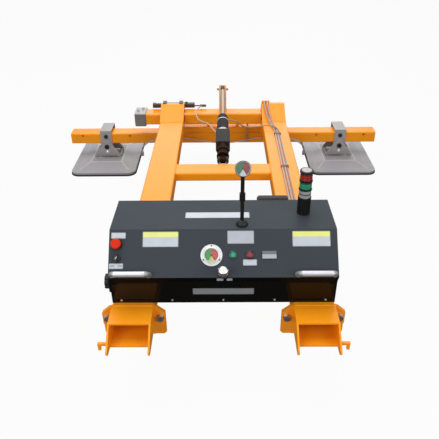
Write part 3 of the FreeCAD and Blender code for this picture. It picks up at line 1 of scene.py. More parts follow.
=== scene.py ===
import bpy
import numpy as np
from mathutils import Matrix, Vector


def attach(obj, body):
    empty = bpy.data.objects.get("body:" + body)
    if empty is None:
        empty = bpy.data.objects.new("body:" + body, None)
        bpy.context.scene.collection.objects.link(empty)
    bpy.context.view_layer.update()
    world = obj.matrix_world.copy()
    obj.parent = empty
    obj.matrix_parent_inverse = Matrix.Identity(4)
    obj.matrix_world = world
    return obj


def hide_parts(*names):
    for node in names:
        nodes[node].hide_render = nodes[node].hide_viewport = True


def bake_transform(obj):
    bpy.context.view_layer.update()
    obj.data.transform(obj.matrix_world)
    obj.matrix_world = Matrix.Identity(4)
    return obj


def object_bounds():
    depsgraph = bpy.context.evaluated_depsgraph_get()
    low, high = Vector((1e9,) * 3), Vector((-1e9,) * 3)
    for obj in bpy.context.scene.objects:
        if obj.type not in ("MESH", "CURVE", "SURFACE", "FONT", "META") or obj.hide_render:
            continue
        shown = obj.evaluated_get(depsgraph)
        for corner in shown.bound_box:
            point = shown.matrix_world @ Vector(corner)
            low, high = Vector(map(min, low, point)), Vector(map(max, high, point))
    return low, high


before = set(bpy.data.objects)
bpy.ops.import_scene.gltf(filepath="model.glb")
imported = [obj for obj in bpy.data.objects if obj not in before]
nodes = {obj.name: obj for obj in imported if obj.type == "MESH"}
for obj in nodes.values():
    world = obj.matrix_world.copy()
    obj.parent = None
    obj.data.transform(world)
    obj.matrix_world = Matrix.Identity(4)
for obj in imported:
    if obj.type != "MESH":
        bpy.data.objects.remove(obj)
cad_box = [[float(number) for number in corner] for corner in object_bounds()]
scene = bpy.context.scene
scene.view_settings.view_transform = "Standard"


# Studio
# A white room with a broad soft lamp overhead, a lower one beyond the head, which shines along the tops, and
# one at each side of the operator, off the line that the dial glasses mirror.
# The camera stands behind the operator, above the control cabinet, and looks down the arms.
def standing(right, up, back, place):
    """Matrix of a camera or lamp at a place, with its own axes to the right, up and back."""
    axes = np.identity(4)
    for column, part in enumerate((right, up, back, place)):
        axes[:3, column] = part
    return Matrix(axes.tolist())


camera_place = (0.0026, -1.6539, 1.5941)
camera_yaw = np.radians(-0.532)
camera_pitch = np.radians(32.556)
camera_roll = np.radians(-0.572)
camera_lens = 42.98
level_right = np.array([np.cos(camera_yaw), -np.sin(camera_yaw), 0.0])
ahead = np.array([np.sin(camera_yaw), np.cos(camera_yaw), 0.0])
forward = ahead * np.cos(camera_pitch) - np.array([0.0, 0.0, np.sin(camera_pitch)])
level_up = np.cross(level_right, forward)
camera_right = np.cos(camera_roll) * level_right + np.sin(camera_roll) * level_up
camera_up = np.cos(camera_roll) * level_up - np.sin(camera_roll) * level_right
camera_data = bpy.data.cameras.new("operator_view")
camera_data.lens = camera_lens
camera_data.sensor_width = 36.0
camera_data.clip_end = 60.0
camera = bpy.data.objects.new("operator_view", camera_data)
camera.matrix_world = standing(camera_right, camera_up, -forward, camera_place)
scene.collection.objects.link(camera)
scene.camera = camera


class Shade:
    """One number or colour in a material. Arithmetic on a number adds Math nodes."""

    def __init__(self, owner, socket):
        self.owner = owner
        self.socket = socket

    def calc(self, operation, first, second=0.0):
        return self.owner.add("Math", {"operation": operation}, {0: first, 1: second})

    def __add__(self, other):
        return self.calc("ADD", self, other)

    def __sub__(self, other):
        return self.calc("SUBTRACT", self, other)

    def __mul__(self, other):
        return self.calc("MULTIPLY", self, other)

    def __gt__(self, other):
        return self.calc("GREATER_THAN", self, other)

    def __lt__(self, other):
        return self.calc("LESS_THAN", self, other)

    def __or__(self, other):
        return self.calc("MAXIMUM", self, other)

    def __abs__(self):
        return self.calc("ABSOLUTE", self)


class Nodes:
    """A node tree that is filled with one kind of call: a node's type, its settings, its sockets."""

    def __init__(self, tree):
        self.tree = tree

    def add(self, kind, settings, sockets, output=0):
        node = self.tree.nodes.new("ShaderNode" + kind)
        for name, value in settings.items():
            setattr(node, name, value)
        for name, value in sockets.items():
            self.join(node.inputs[name], value)
        return Shade(self, node.outputs[output])

    def join(self, socket, value):
        if isinstance(value, Shade):
            self.tree.links.new(value.socket, socket)
        else:
            socket.default_value = value


room_light = 0.34
world = bpy.data.worlds.new("white_room")
scene.world = world
world.use_nodes = True
room = Nodes(world.node_tree)
room_seen = room.add("LightPath", {}, {}, output="Is Camera Ray")
room_seen = room_seen | room.add("LightPath", {}, {}, output="Is Glossy Ray")
room_seen = room_seen | room.add("LightPath", {}, {}, output="Is Transmission Ray")
background = world.node_tree.nodes["Background"]
background.inputs["Color"].default_value = (1.0, 1.0, 1.0, 1.0)
room.join(background.inputs["Strength"], room_seen * (1.0 - room_light) + room_light)

floor_height = cad_box[0][2] - 0.002
floor_half = 16.0
floor_mesh = bpy.data.meshes.new("floor")
floor_corners = [(-1, -1), (1, -1), (1, 1), (-1, 1)]
floor_mesh.from_pydata(
    [(x * floor_half, y * floor_half, floor_height) for x, y in floor_corners], [], [(0, 1, 2, 3)]
)
floor = bpy.data.objects.new("floor", floor_mesh)
scene.collection.objects.link(floor)
floor_paint = bpy.data.materials.new("pale_floor")
floor_paint.use_nodes = True
floor_mesh.materials.append(floor_paint)
ground = Nodes(floor_paint.node_tree)
ground_camera = ground.add("LightPath", {}, {}, output="Is Camera Ray")
ground_clear = ground.add("LightPath", {}, {}, output="Is Transmission Ray")
ground_shine = ground.add("LightPath", {}, {}, output="Is Glossy Ray")
glow_share, dark_share = 0.95, 0.85
ground_seen = (ground_camera | ground_clear) * glow_share
ground_matt = ground.add("BsdfDiffuse", {}, {"Color": (0.45, 0.44, 0.43, 1.0)})
ground_glow = ground.add("Emission", {}, {"Color": (1.0, 1.0, 1.0, 1.0), "Strength": 1.0})
ground_dark = ground.add("BsdfDiffuse", {}, {"Color": (0.02, 0.02, 0.02, 1.0)})
ground_mixed = ground.add("MixShader", {}, {0: ground_seen, 1: ground_matt, 2: ground_glow})
ground_mixed = ground.add(
    "MixShader", {}, {0: ground_shine * dark_share, 1: ground_mixed, 2: ground_dark}
)
ground.join(floor_paint.node_tree.nodes["Material Output"].inputs["Surface"], ground_mixed)


def soft_lamp(name, place, target, size, power):
    """Square area lamp at a place, turned towards a target."""
    data = bpy.data.lights.new(name, "AREA")
    data.size = size
    data.energy = power
    lamp = bpy.data.objects.new(name, data)
    back = np.array(place, float) - np.array(target, float)
    back /= np.linalg.norm(back)
    off_vertical = (0.0, 1.0, 0.001)
    side = np.cross(off_vertical, back)
    side /= np.linalg.norm(side)
    lamp.matrix_world = standing(side, np.cross(back, side), back, place)
    scene.collection.objects.link(lamp)


soft_lamp("overhead_lamp", (-0.6, 1.8, 4.4), (0.0, 1.5, 0.0), 4.4, 170.0)
soft_lamp("far_lamp", (0.3, 7.4, 3.4), (0.0, 1.4, 0.0), 5.0, 92.0)
soft_lamp("operator_lamp", (-2.0, -2.4, 2.0), (0.0, 0.2, 0.0), 2.2, 54.0)
soft_lamp("right_lamp", (2.6, -2.0, 1.8), (0.0, 0.2, 0.0), 2.2, 46.0)


# Arms, cross tubes and fork pockets
# Rolled steel box section and plate, welded up and sprayed with a thick gloss orange enamel.
# The enamel pools a little, has the fine ripple of a sprayed coat and is scratched where forks slide in.
to_right = (1.0, 0.0, 0.0)
to_back = (0.0, 1.0, 0.0)
to_sky = (0.0, 0.0, 1.0)


def from_screen(red, green, blue):
    """Linear colour of a screen colour given in steps of 0 to 255."""
    screen = np.array([red, green, blue]) / 255.0
    linear = np.where(screen <= 0.04045, screen / 12.92, ((screen + 0.055) / 1.055) ** 2.4)
    return tuple(float(part) for part in linear) + (1.0,)


def dimmed(colour, share):
    """Linear colour with a share of a screen colour's light."""
    return tuple(share * part for part in from_screen(*colour)[:3]) + (1.0,)


class Finish(Nodes):
    """A material: one Principled shader, with constants on its sockets and varying values fed to it."""

    def __init__(self, name, **constants):
        self.material = bpy.data.materials.new(name)
        self.material.use_nodes = True
        super().__init__(self.material.node_tree)
        self.shader = self.tree.nodes["Principled BSDF"]
        for socket, value in constants.items():
            self.shader.inputs[socket.replace("_", " ")].default_value = value
        self.place = self.add("TexCoord", {}, {}, output="Object")

    def feed(self, socket, value):
        self.join(self.shader.inputs[socket], value)

    def colour(self, value):
        self.feed("Base Color", value)

    def noise(self, scale, detail=3.0, stretch=(1.0, 1.0, 1.0)):
        """Cloudy value from 0 to 1, scale in cycles to the metre, stretched along each axis."""
        spot = self.add("Mapping", {}, {"Vector": self.place, "Scale": stretch})
        return self.add("TexNoise", {}, {"Vector": spot, "Scale": scale, "Detail": detail})

    def blend(self, share, first, second):
        """Colour between two colours: each is a Shade, a linear colour of four parts or a screen colour."""
        ends = [
            from_screen(*end) if isinstance(end, tuple) and len(end) == 3 else end for end in (first, second)
        ]
        return self.add("Mix", {"data_type": "RGBA"}, {0: share, 6: ends[0], 7: ends[1]}, output=2)

    def drift(self, scale, light, dark):
        """Colour that drifts between two screen colours, scale in clouds to the metre."""
        return self.blend(self.noise(scale), light, dark)

    def gloss(self, low, spread, scale, detail=3.0, stretch=(1.0, 1.0, 1.0)):
        """Roughness that wanders between low and low plus spread."""
        self.feed("Roughness", self.noise(scale, detail, stretch) * spread + low)

    def ramp(self, value, low, high):
        """Value stretched so that low gives 0 and high gives 1, and held there beyond them."""
        return self.add("MapRange", {}, {0: value, 1: low, 2: high})

    def past(self, start, direction):
        """Distance along a direction past a start on it, in metres."""
        sockets = {0: self.place, 1: tuple(float(part) for part in direction)}
        return self.add("VectorMath", {"operation": "DOT_PRODUCT"}, sockets, output="Value") - start

    def along(self, origin, direction):
        """Distance from an origin along a direction, in metres."""
        return self.past(float(np.dot(origin, direction)), direction)

    def over(self, spot):
        """Distances from a spot's origin, across the spot and up it."""
        return self.along(spot.origin, spot.across), self.along(spot.origin, spot.up)

    def relief(self, height, strength, distance):
        """Bump from a height value."""
        bump = self.add("Bump", {}, {"Strength": strength, "Distance": distance, "Height": height})
        self.feed("Normal", bump)


def one_tone(name, tint, gloss, **constants):
    """Finish whose colour only drifts and whose gloss only wanders: tint and gloss hold what drift and
    gloss are told."""
    finish = Finish(name, **constants)
    finish.colour(finish.drift(*tint))
    finish.gloss(*gloss)
    return finish


def dress(finish, *names):
    """Give CAD nodes a finish."""
    for name in names:
        for slot in nodes[name].material_slots:
            slot.material = finish.material


orange_light = (252, 160, 24)
orange_dark = (247, 149, 14)
bare_steel = (150, 140, 128)
fork_room_top = -0.012


def enamel(name, scratches):
    """Orange gloss paint: two near tones drift over it, dust specks darken it, the coat ripples and its
    gloss wanders. Scratches is the share of long thin marks along the arms that show steel."""
    paint = Finish(name, Coat_Weight=0.2, Coat_Roughness=0.2, Coat_IOR=1.45, Specular_IOR_Level=0.2)
    drift = paint.noise(2.2)
    specks = paint.ramp(paint.noise(60.0, 6.0), 0.60, 0.78)
    tone = paint.blend(specks * 0.2, paint.blend(drift, orange_light, orange_dark), (214, 122, 10))
    marks = paint.ramp(paint.noise(150.0, 4.0, (1.0, 0.03, 1.0)), 0.60, 0.72)
    inside = paint.past(fork_room_top, to_sky) < 0.0
    paint.colour(paint.blend(marks * inside * scratches, tone, bare_steel))
    paint.gloss(0.24, 0.18, 9.0)
    paint.relief(paint.noise(420.0, 2.0), 0.06, 0.0006)
    return paint


orange_enamel = enamel("orange_enamel", 0.0)
pocket_enamel = enamel("pocket_enamel", 0.35)
dress(pocket_enamel, "left_fork_pocket", "right_fork_pocket")
dress(
    orange_enamel, "left_arm", "right_arm", "mid_cross_tube", "left_bearing_saddle", "right_bearing_saddle",
    "tilt_tube", "carrier_beam", "pad_beam", "lever_cheeks",
)


def surface(name, grid, finish, body, ring=False):
    """Closed mesh of one grid of points, or of a stack of like grids. Four neighbours make a face, and the
    last column joins the first. Ring joins the last row to the first; without it, one face closes each end
    row. Faces are turned outwards by the sign of the volume they enclose."""
    stack = grid.reshape((-1,) + grid.shape[-3:])
    copies, rows, columns = stack.shape[:3]
    index = np.arange(rows * columns).reshape(rows, columns)
    if ring:
        index = np.concatenate([index, index[:1]])
    index = np.concatenate([index, index[:, :1]], axis=1)
    cells = np.stack([index[:-1, :-1], index[:-1, 1:], index[1:, 1:], index[1:, :-1]], axis=-1).reshape(-1, 4)
    caps = np.stack([np.arange(columns)[::-1], np.arange(columns) + (rows - 1) * columns])
    points = stack.reshape(copies, -1, 3)
    local = points[0] - points[0].mean(axis=0)
    a, b, c, d = (local[cells[:, corner]] for corner in range(4))
    volume = np.einsum("ij,ij->", a, np.cross(b, c)) + np.einsum("ij,ij->", a, np.cross(c, d))
    if not ring:
        for cap in caps:
            fan = local[cap]
            volume += np.einsum("j,ij->", fan[0], np.cross(fan[1:-1], fan[2:]))
    step = 1 if volume > 0 else -1
    start = np.arange(copies)[:, None, None] * rows * columns
    faces = (cells[:, ::step][None] + start).reshape(-1, 4).tolist()
    if not ring:
        faces += (caps[:, ::step][None] + start).reshape(-1, columns).tolist()
    across, along = np.meshgrid(np.arange(index.shape[1]), np.arange(index.shape[0]))
    spread = np.stack([across / (index.shape[1] - 1), along / (index.shape[0] - 1)], axis=-1)
    corners = [spread[:-1, :-1], spread[:-1, 1:], spread[1:, 1:], spread[1:, :-1]]
    wrap = np.stack(corners, axis=2).reshape(-1, 4, 2)[:, ::step].reshape(-1, 2)
    mesh = bpy.data.meshes.new(name)
    mesh.from_pydata(points.reshape(-1, 3).tolist(), [], faces)
    layer = mesh.uv_layers.new(name="wrap")
    flat = np.zeros((len(mesh.loops), 2))
    flat[:len(wrap) * copies] = np.tile(wrap, (copies, 1))
    layer.data.foreach_set("uv", flat.ravel())
    mesh.materials.append(finish.material)
    mesh.shade_smooth()
    mesh.set_sharp_from_angle(angle=np.radians(38.0))
    piece = bpy.data.objects.new(name, mesh)
    scene.collection.objects.link(piece)
    if body:
        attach(piece, body)
    return piece


def tube_grid(line, radius, lean, sides):
    """Circles square to a line of points: each circle's first axis is the line's direction crossed with
    the lean vector, its second axis is square to both. The radius may change along the line."""
    along = np.gradient(line, axis=0)
    along /= np.linalg.norm(along, axis=1, keepdims=True)
    side = np.cross(along, lean)
    side /= np.linalg.norm(side, axis=1, keepdims=True)
    over = np.cross(side, along)
    angle = np.linspace(0.0, 2.0 * np.pi, sides, endpoint=False)[None, :, None]
    reach = np.broadcast_to(radius, len(line))[:, None, None]
    return line[:, None] + reach * (np.cos(angle) * side[:, None] + np.sin(angle) * over[:, None])


def weld_bead(name, body, runs, radius=0.0035):
    """Painted weld along straight runs in a corner: a thin tube whose radius ripples every 5 mm."""
    share = np.linspace(0.0, 1.0, 90)[:, None]
    ripple_pitch, ripple_depth = 0.005, 0.16
    off_every_run = (0.31, 0.47, 0.83)
    grids = []
    for start, end in np.array(runs):
        line = start + (end - start) * share
        length = np.linalg.norm(end - start)
        wave = np.abs(np.sin(np.pi * share[:, 0] * length / ripple_pitch))
        grids.append(tube_grid(line, radius * (1.0 + ripple_depth * wave), off_every_run, 8))
    piece = surface(name, np.stack(grids), orange_enamel, body)


arm_inner = 0.3135
arm_outer = 0.5005
arm_end = 2.269
pocket_end = 0.115
arm_top = 0.008
mid_near, mid_far, mid_low, mid_top = 1.402, 1.545, -0.057, 0.003
weld_bead("cross_tube_welds", "frame", [
    run for side in (-arm_inner, arm_inner) for run in (
        ((side, mid_near, mid_top), (side, mid_far, mid_top)),
        ((side, mid_near, mid_low), (side, mid_near, mid_top)),
        ((side, mid_far, mid_low), (side, mid_far, mid_top)),
    )
])


def across_arms(name, y, short):
    """Fine weld over the top of each arm at one depth, stopping short of the arm's edges."""
    near, far = arm_inner + short, arm_outer - short
    runs = [((side * near, y, arm_top), (side * far, y, arm_top)) for side in (-1, 1)]
    weld_bead(name, "frame", runs, 0.0028)


across_arms("saddle_welds", arm_end, 0.006)
across_arms("pocket_welds", pocket_end, 0.004)

# Flange bolts, tilt shaft and bushes
# Zinc plated hex bolts on washers hold the pocket flanges; the tilt shaft and lever pins are turned steel.
# The bushes in the saddles are turned bronze.
zinc = one_tone("zinc_plate", (40.0, (204, 204, 198), (164, 166, 162)), (0.28, 0.2, 90.0), Metallic=1.0)
dress(zinc, "flange_bolts", "head_pins")
bronze = one_tone(
    "turned_bronze", (30.0, (190, 150, 90), (150, 112, 60)), (0.3, 0.2, 200.0, 2.0, (1.0, 0.1, 0.1)),
    Metallic=1.0,
)
dress(bronze, "tilt_bushes")

# Cabinet shell
# Folded sheet steel, powder coated in a fine dark texture, with a glossy black plate below the lip.
# The plate is held by a row of cap screws; pump, batteries and electric box stand on the floor inside.
powder = Finish("dark_powder_coat", IOR=1.45, Specular_IOR_Level=0.07)
powder_grain = powder.noise(900.0, 4.0)
powder_tone = powder.drift(3.0, (71, 77, 83), (62, 68, 74))
powder_tone = powder.blend(powder_grain, powder_tone, (53, 58, 63))
nose_y, nose_z, lip_foot_y = 0.118, 0.165, 0.1375
# Painted shade: the lip's faces below the nose, in front of its foot, are painted near black where the lip
# lies in shadow.
below_nose = powder.past(nose_z - 0.0005, to_sky) < 0.0
painted_shade_on_lip = below_nose * (powder.past(lip_foot_y, to_back) < 0.0)
powder.colour(powder.blend(painted_shade_on_lip, powder_tone, (8, 8, 7)))
powder.gloss(0.42, 0.15, 14.0)
powder.relief(powder_grain, 0.25, 0.0007)
dress(powder, "cabinet_cover", "cabinet_sides", "cabinet_floor")
black_gloss = one_tone(
    "black_gloss_plate", (5.0, (6, 6, 5), (10, 9, 8)), (0.06, 0.08, 12.0), Specular_IOR_Level=0.26
)
dress(black_gloss, "lower_front_panel")


class Spot:
    """A flat place on the machine: an origin and three directions, across, up and out of the surface."""

    def __init__(self, origin, across, up):
        self.origin = np.array(origin, float)
        self.across = np.array(across, float)
        self.up = np.array(up, float)
        self.out = np.cross(self.across, self.up)

    def at(self, across, up, out):
        """Points at these distances from the origin along the three directions."""
        pieces = np.broadcast_arrays(across, up, out)
        return self.origin + sum(
            piece[..., None] * way for piece, way in zip(pieces, (self.across, self.up, self.out))
        )

    def moved(self, across, up, out=0.0, turn=0.0):
        """The same directions at another origin, turned about the outward one by an angle in degrees."""
        angle = np.radians(turn)
        return Spot(
            self.at(across, up, out),
            np.cos(angle) * self.across + np.sin(angle) * self.up,
            np.cos(angle) * self.up - np.sin(angle) * self.across,
        )


def turned(name, spots, profile, finish, body, sides=48, ring=False):
    """Lathe work: a profile of radius and height carried round the outward direction of each spot."""
    radius, height = np.array(profile, float).T
    angle = np.linspace(0.0, 2.0 * np.pi, sides, endpoint=False)
    grids = [
        spot.at(radius[:, None] * np.cos(angle), radius[:, None] * np.sin(angle), height[:, None])
        for spot in spots
    ]
    return surface(name, np.stack(grids), finish, body, ring=ring)


def screw_heads(name, spots, radius, height, finish):
    """Round cap screws with a socket: up the side, over a rounded edge, down into the recess."""
    profile = [
        (radius, 0.0), (radius, 0.7 * height), (0.94 * radius, 0.92 * height), (0.85 * radius, height),
        (0.5 * radius, height), (0.46 * radius, 0.3 * height), (0.02 * radius, 0.25 * height),
    ]
    turned(name, spots, profile, finish, "frame", 18)


slope_up = (0.0, 0.68568, 0.72794)
lip_up = (0.0, -0.43744, 0.89925)
panel = Spot((0.0, nose_y, nose_z), to_right, slope_up)
lip = Spot((0.0, nose_y, nose_z), to_right, lip_up)
lower_front = Spot((0.0, 0.136, 0.0), to_right, to_sky)
cabinet_top = Spot((0.0, 0.0, 0.320), to_right, to_back)
cabinet_rear = Spot((0.0, 0.514, 0.0), (-1.0, 0.0, 0.0), to_sky)
front_screws = [lower_front.moved(x, 0.023) for x in np.linspace(-0.458, 0.458, 5)]
screw_heads("lower_front_screws", front_screws, 0.0055, 0.003, zinc)
rear_screws = [cabinet_rear.moved(x, z) for x in (-0.47, 0.0, 0.47) for z in (0.03, 0.295)]
screw_heads("cabinet_rear_screws", rear_screws, 0.005, 0.003, zinc)


def louvres(name, spot, count, width, pitch, bulge):
    """Pressed air slots: each is a low half round, closed at its ends by a sine along its length."""
    share = np.linspace(0.0, 1.0, 25)[:, None]
    turn = np.linspace(0.0, 1.0, 13)[None, :]
    lift = bulge * np.sin(np.pi * share) ** 0.35
    across = (share - 0.5) * width + 0.0 * turn
    rise = (turn - 0.5) * 0.75 * pitch + 0.0 * share
    out = lift * np.sin(np.pi * turn ** 0.7)
    lower = np.concatenate([out, -0.0004 + 0.0 * out[:, ::-1]], axis=1)
    grids = [
        spot.at(
            np.concatenate([across, across[:, ::-1]], axis=1),
            np.concatenate([rise, rise[:, ::-1]], axis=1) + step * pitch, lower,
        )
        for step in range(count)
    ]
    piece = surface(name, np.stack(grids), powder, "frame")


louvres("rear_louvres", cabinet_rear.moved(0.23, 0.12), 7, 0.20, 0.018, 0.006)

# Pump hood, pieces inside and grab handles
# A moulded grey hood covers the pump's outlet behind the cabinet; the pump is cast alloy.
# Batteries and electric box are black mouldings with a fine spark texture.
# The grab handles on the panel are satin alloy, duller at their feet.
moulded = one_tone(
    "black_moulding", (20.0, (17, 18, 18), (26, 26, 25)), (0.36, 0.15, 60.0),
    IOR=1.46, Specular_IOR_Level=0.3,
)
moulded.relief(moulded.noise(1400.0, 2.0), 0.08, 0.0004)
dress(
    moulded, "battery_pack", "electric_box", "control_bezels", "stack_light_base", "isolator_knob",
    "stem_post", "actuator_bracket",
)
hood_grey = one_tone(
    "grey_hood_moulding", (8.0, (56, 48, 47), (48, 42, 41)), (0.4, 0.15, 50.0),
    IOR=1.45, Specular_IOR_Level=0.2,
)
hood_grey.relief(hood_grey.noise(1200.0, 2.0), 0.1, 0.0004)
dress(hood_grey, "pump_hood")
alloy = one_tone(
    "satin_alloy", (25.0, (222, 223, 227), (200, 202, 206)), (0.26, 0.18, 220.0, 2.0, (0.1, 1.0, 1.0)),
    Metallic=1.0,
)
dress(alloy, "vacuum_pump")
handle_alloy = Finish("handle_alloy", Metallic=0.6)
handle_middle, handle_half = 0.402, 0.078
from_handle = abs(abs(handle_alloy.past(0.0, to_right)) - handle_middle)
handle_tone = handle_alloy.drift(25.0, (206, 207, 213), (190, 191, 198))
on_foot = handle_alloy.ramp(from_handle, handle_half - 0.014, handle_half - 0.008) * 0.8
handle_alloy.colour(handle_alloy.blend(on_foot, handle_tone, (138, 138, 136)))
handle_alloy.gloss(0.42, 0.16, 220.0, 2.0, (0.1, 1.0, 1.0))
dress(handle_alloy, "grab_handles")
handle_feet = [
    panel.moved(side * handle_middle + foot, 0.013, 0.004)
    for side in (-1, 1) for foot in (-handle_half, handle_half)
]
screw_heads("handle_screws", handle_feet, 0.004, 0.0005, zinc)


# Blank plates
# Thin printed plates and strips are stuck or riveted to the cabinet. They are rolled sheet with a satin
# print, a field of one or two tones and a fine darker border; only the switch plate carries words.
def rounded_loop(width, height, corner, steps=6):
    """Outline of a rounded oblong: a quarter circle at each corner, taken round in turn."""
    turn = np.radians(np.linspace(0.0, 90.0, steps)[None, :] + 90.0 * np.arange(4)[:, None])
    middle = np.array([[1, 1], [-1, 1], [-1, -1], [1, -1]]) * (np.array([width, height]) / 2.0 - corner)
    loop = middle[:, None, :] + corner * np.stack([np.cos(turn), np.sin(turn)], axis=-1)
    return loop.reshape(-1, 2)


plate_thickness = 0.0012


def plate(name, spot, width, height, finish, thickness=plate_thickness, corner=0.004):
    """Thin rounded sheet: its outline at the foot and near the top, then drawn in for a small bevel."""
    bevel = min(0.0005, 0.4 * thickness)
    levels = ((0.0, 0.0), (0.0, thickness - bevel), (bevel, thickness))
    rows = []
    for inset, rise in levels:
        loop = rounded_loop(width - 2.0 * inset, height - 2.0 * inset, corner - inset)
        rows.append(spot.at(loop[:, 0], loop[:, 1], rise))
    return surface(name, np.stack(rows), finish, "frame")


def printed(name, spot, width, height, upper, lower, split):
    """Print on a plate: one tone above a split and another below it, inside a fine dark border."""
    sheet = Finish(name, Specular_IOR_Level=0.4)
    across, rise = sheet.over(spot)
    field = sheet.blend(rise > split, lower, upper)
    border = ((abs(across) > width / 2 - 0.003) | (abs(rise) > height / 2 - 0.003)) * 0.55
    tone = sheet.blend(border, field, dimmed(lower, 0.35))
    sheet.colour(sheet.blend(sheet.noise(30.0) * 0.25, tone, (120, 124, 128)))
    sheet.gloss(0.32, 0.15, 80.0)
    return sheet


label_yellow = (232, 236, 128)
label_white = (195, 202, 210)
plate_silver = (182, 187, 196)
strip_grey = (126, 129, 131)
silver = (plate_silver, plate_silver, 0.0)
white = (label_white, label_white, 0.0)
grey = (strip_grey, strip_grey, 0.0)
two_tone = (label_yellow, label_white, 0.010)
maker_spot = panel.moved(0.077, 0.176)
switch_spot = panel.moved(-0.466, 0.051)
for name, spot, width, height, tones in (
    ("maker_plate_blank", maker_spot, 0.117, 0.058, silver),
    ("left_label_blank", panel.moved(-0.274, 0.168), 0.157, 0.068, two_tone),
    ("right_label_blank", panel.moved(0.386, 0.168), 0.166, 0.068, two_tone),
    ("stop_label_blank", panel.moved(-0.459, 0.1855), 0.064, 0.027, white),
    ("switch_plate", switch_spot, 0.062, 0.024, white),
    ("red_button_plate", panel.moved(0.116, 0.065), 0.061, 0.027, white),
    ("left_lever_plate", lip.moved(-0.014, -0.019), 0.030, 0.022, silver),
    ("right_lever_plate", lip.moved(0.027, -0.019), 0.026, 0.022, silver),
    ("lower_strip_blank", lower_front.moved(0.0, 0.0735), 0.272, 0.034, grey),
    ("top_strip_blank", cabinet_top.moved(-0.0255, 0.378), 0.293, 0.048, white),
):
    print_finish = printed(f"{name}_print", spot, width, height, *tones)
    plate(name, spot, width, height, print_finish)
maker_rivets = [
    maker_spot.moved(x, y, plate_thickness) for x in (-0.053, 0.053) for y in (-0.0235, 0.0235)
]
screw_heads("maker_plate_rivets", maker_rivets, 0.0022, 0.0012, zinc)


def mesh_of(curve):
    """Mesh of a curve and the places of its points; the curve itself is removed."""
    holder = bpy.data.objects.new(curve.name, curve)
    scene.collection.objects.link(holder)
    mesh = bpy.data.meshes.new_from_object(holder.evaluated_get(bpy.context.evaluated_depsgraph_get()))
    bpy.data.objects.remove(holder)
    bpy.data.curves.remove(curve)
    points = np.empty(len(mesh.vertices) * 3)
    mesh.vertices.foreach_get("co", points)
    return mesh, points.reshape(-1, 3)


def lettering(name, words, spot, height, finish):
    """Words as thin raised mesh, centred on a spot."""
    curve = bpy.data.curves.new(name, "FONT")
    curve.body = words
    curve.size = height / 0.7
    curve.align_x = "CENTER"
    curve.align_y = "CENTER"
    curve.extrude = 0.0001
    mesh, flat = mesh_of(curve)
    mesh.vertices.foreach_set("co", spot.at(flat[:, 0], flat[:, 1], flat[:, 2]).ravel())
    mesh.materials.clear()
    mesh.materials.append(finish.material)
    piece = bpy.data.objects.new(name, mesh)
    scene.collection.objects.link(piece)
    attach(piece, "frame")


pointer = one_tone("pointer_black", (50.0, (14, 14, 14), (24, 24, 24)), (0.4, 0.1, 90.0))
dress(pointer, "panel_gauge_needle", "stem_gauge_needle")
lettering("switch_words", "OFF    ON", switch_spot.moved(0.0, 0.0, plate_thickness + 0.0001), 0.0085, pointer)

# Vacuum gauges
# Pressed bright cases with a printed dial under glass: one let into the panel through a white flange,
# the other tilted up on a stem that stands in a rubber boot on the lid.
flange_white = one_tone(
    "gauge_flange_white", (30.0, (232, 233, 235), (214, 216, 219)), (0.3, 0.12, 70.0),
    Coat_Weight=0.3, Coat_Roughness=0.2,
)
dress(flange_white, "panel_gauge_case")
case_steel = one_tone(
    "gauge_case_steel", (25.0, (142, 143, 147), (120, 121, 126)), (0.16, 0.12, 90.0), Metallic=1.0
)
dress(case_steel, "stem_gauge_case")
glass = Finish("gauge_glass", IOR=1.45)
glass_clear, glass_dull = (0.97, 0.98, 0.98, 1.0), (0.90, 0.93, 0.93, 1.0)
glass.colour(glass.blend(glass.noise(10.0), glass_clear, glass_dull))
glass.gloss(0.02, 0.04, 20.0)
glass.feed("Alpha", glass.noise(6.0) * 0.03 + 0.02)
dress(glass, "gauge_glasses")
dial_height = 0.0041
dial_radius = 0.0304


def dial_print(name, spot, green, red, pale):
    """Dial colours by the angle from upright: green to the left, red to the right, a paler tone below, with a
    fine light rim, and a dark tick every fifteen degrees of the scale."""
    ink = Finish(name, Specular_IOR_Level=0.3)
    across, rise = ink.over(spot)
    angle = across.calc("ARCTAN2", across, rise)
    reach = across * across + rise * rise
    colour = ink.blend(angle > 0.0, green, red)
    colour = ink.blend(abs(angle) > np.radians(152.0), colour, pale)
    colour = ink.blend(reach > (0.95 * dial_radius) ** 2, colour, (228, 228, 222))
    step = angle.calc("FRACT", (angle + np.pi) * (12.0 / np.pi) + 0.5)
    in_scale = (reach > (0.74 * dial_radius) ** 2) * (reach < (0.93 * dial_radius) ** 2)
    tick = (abs(step - 0.5) < 0.09) * in_scale * (abs(angle) < np.radians(149.0))
    colour = ink.blend(tick, colour, (26, 26, 26))
    ink.colour(ink.blend(ink.noise(60.0) * 0.08, colour, (120, 120, 116)))
    ink.gloss(0.45, 0.1, 90.0)
    return ink


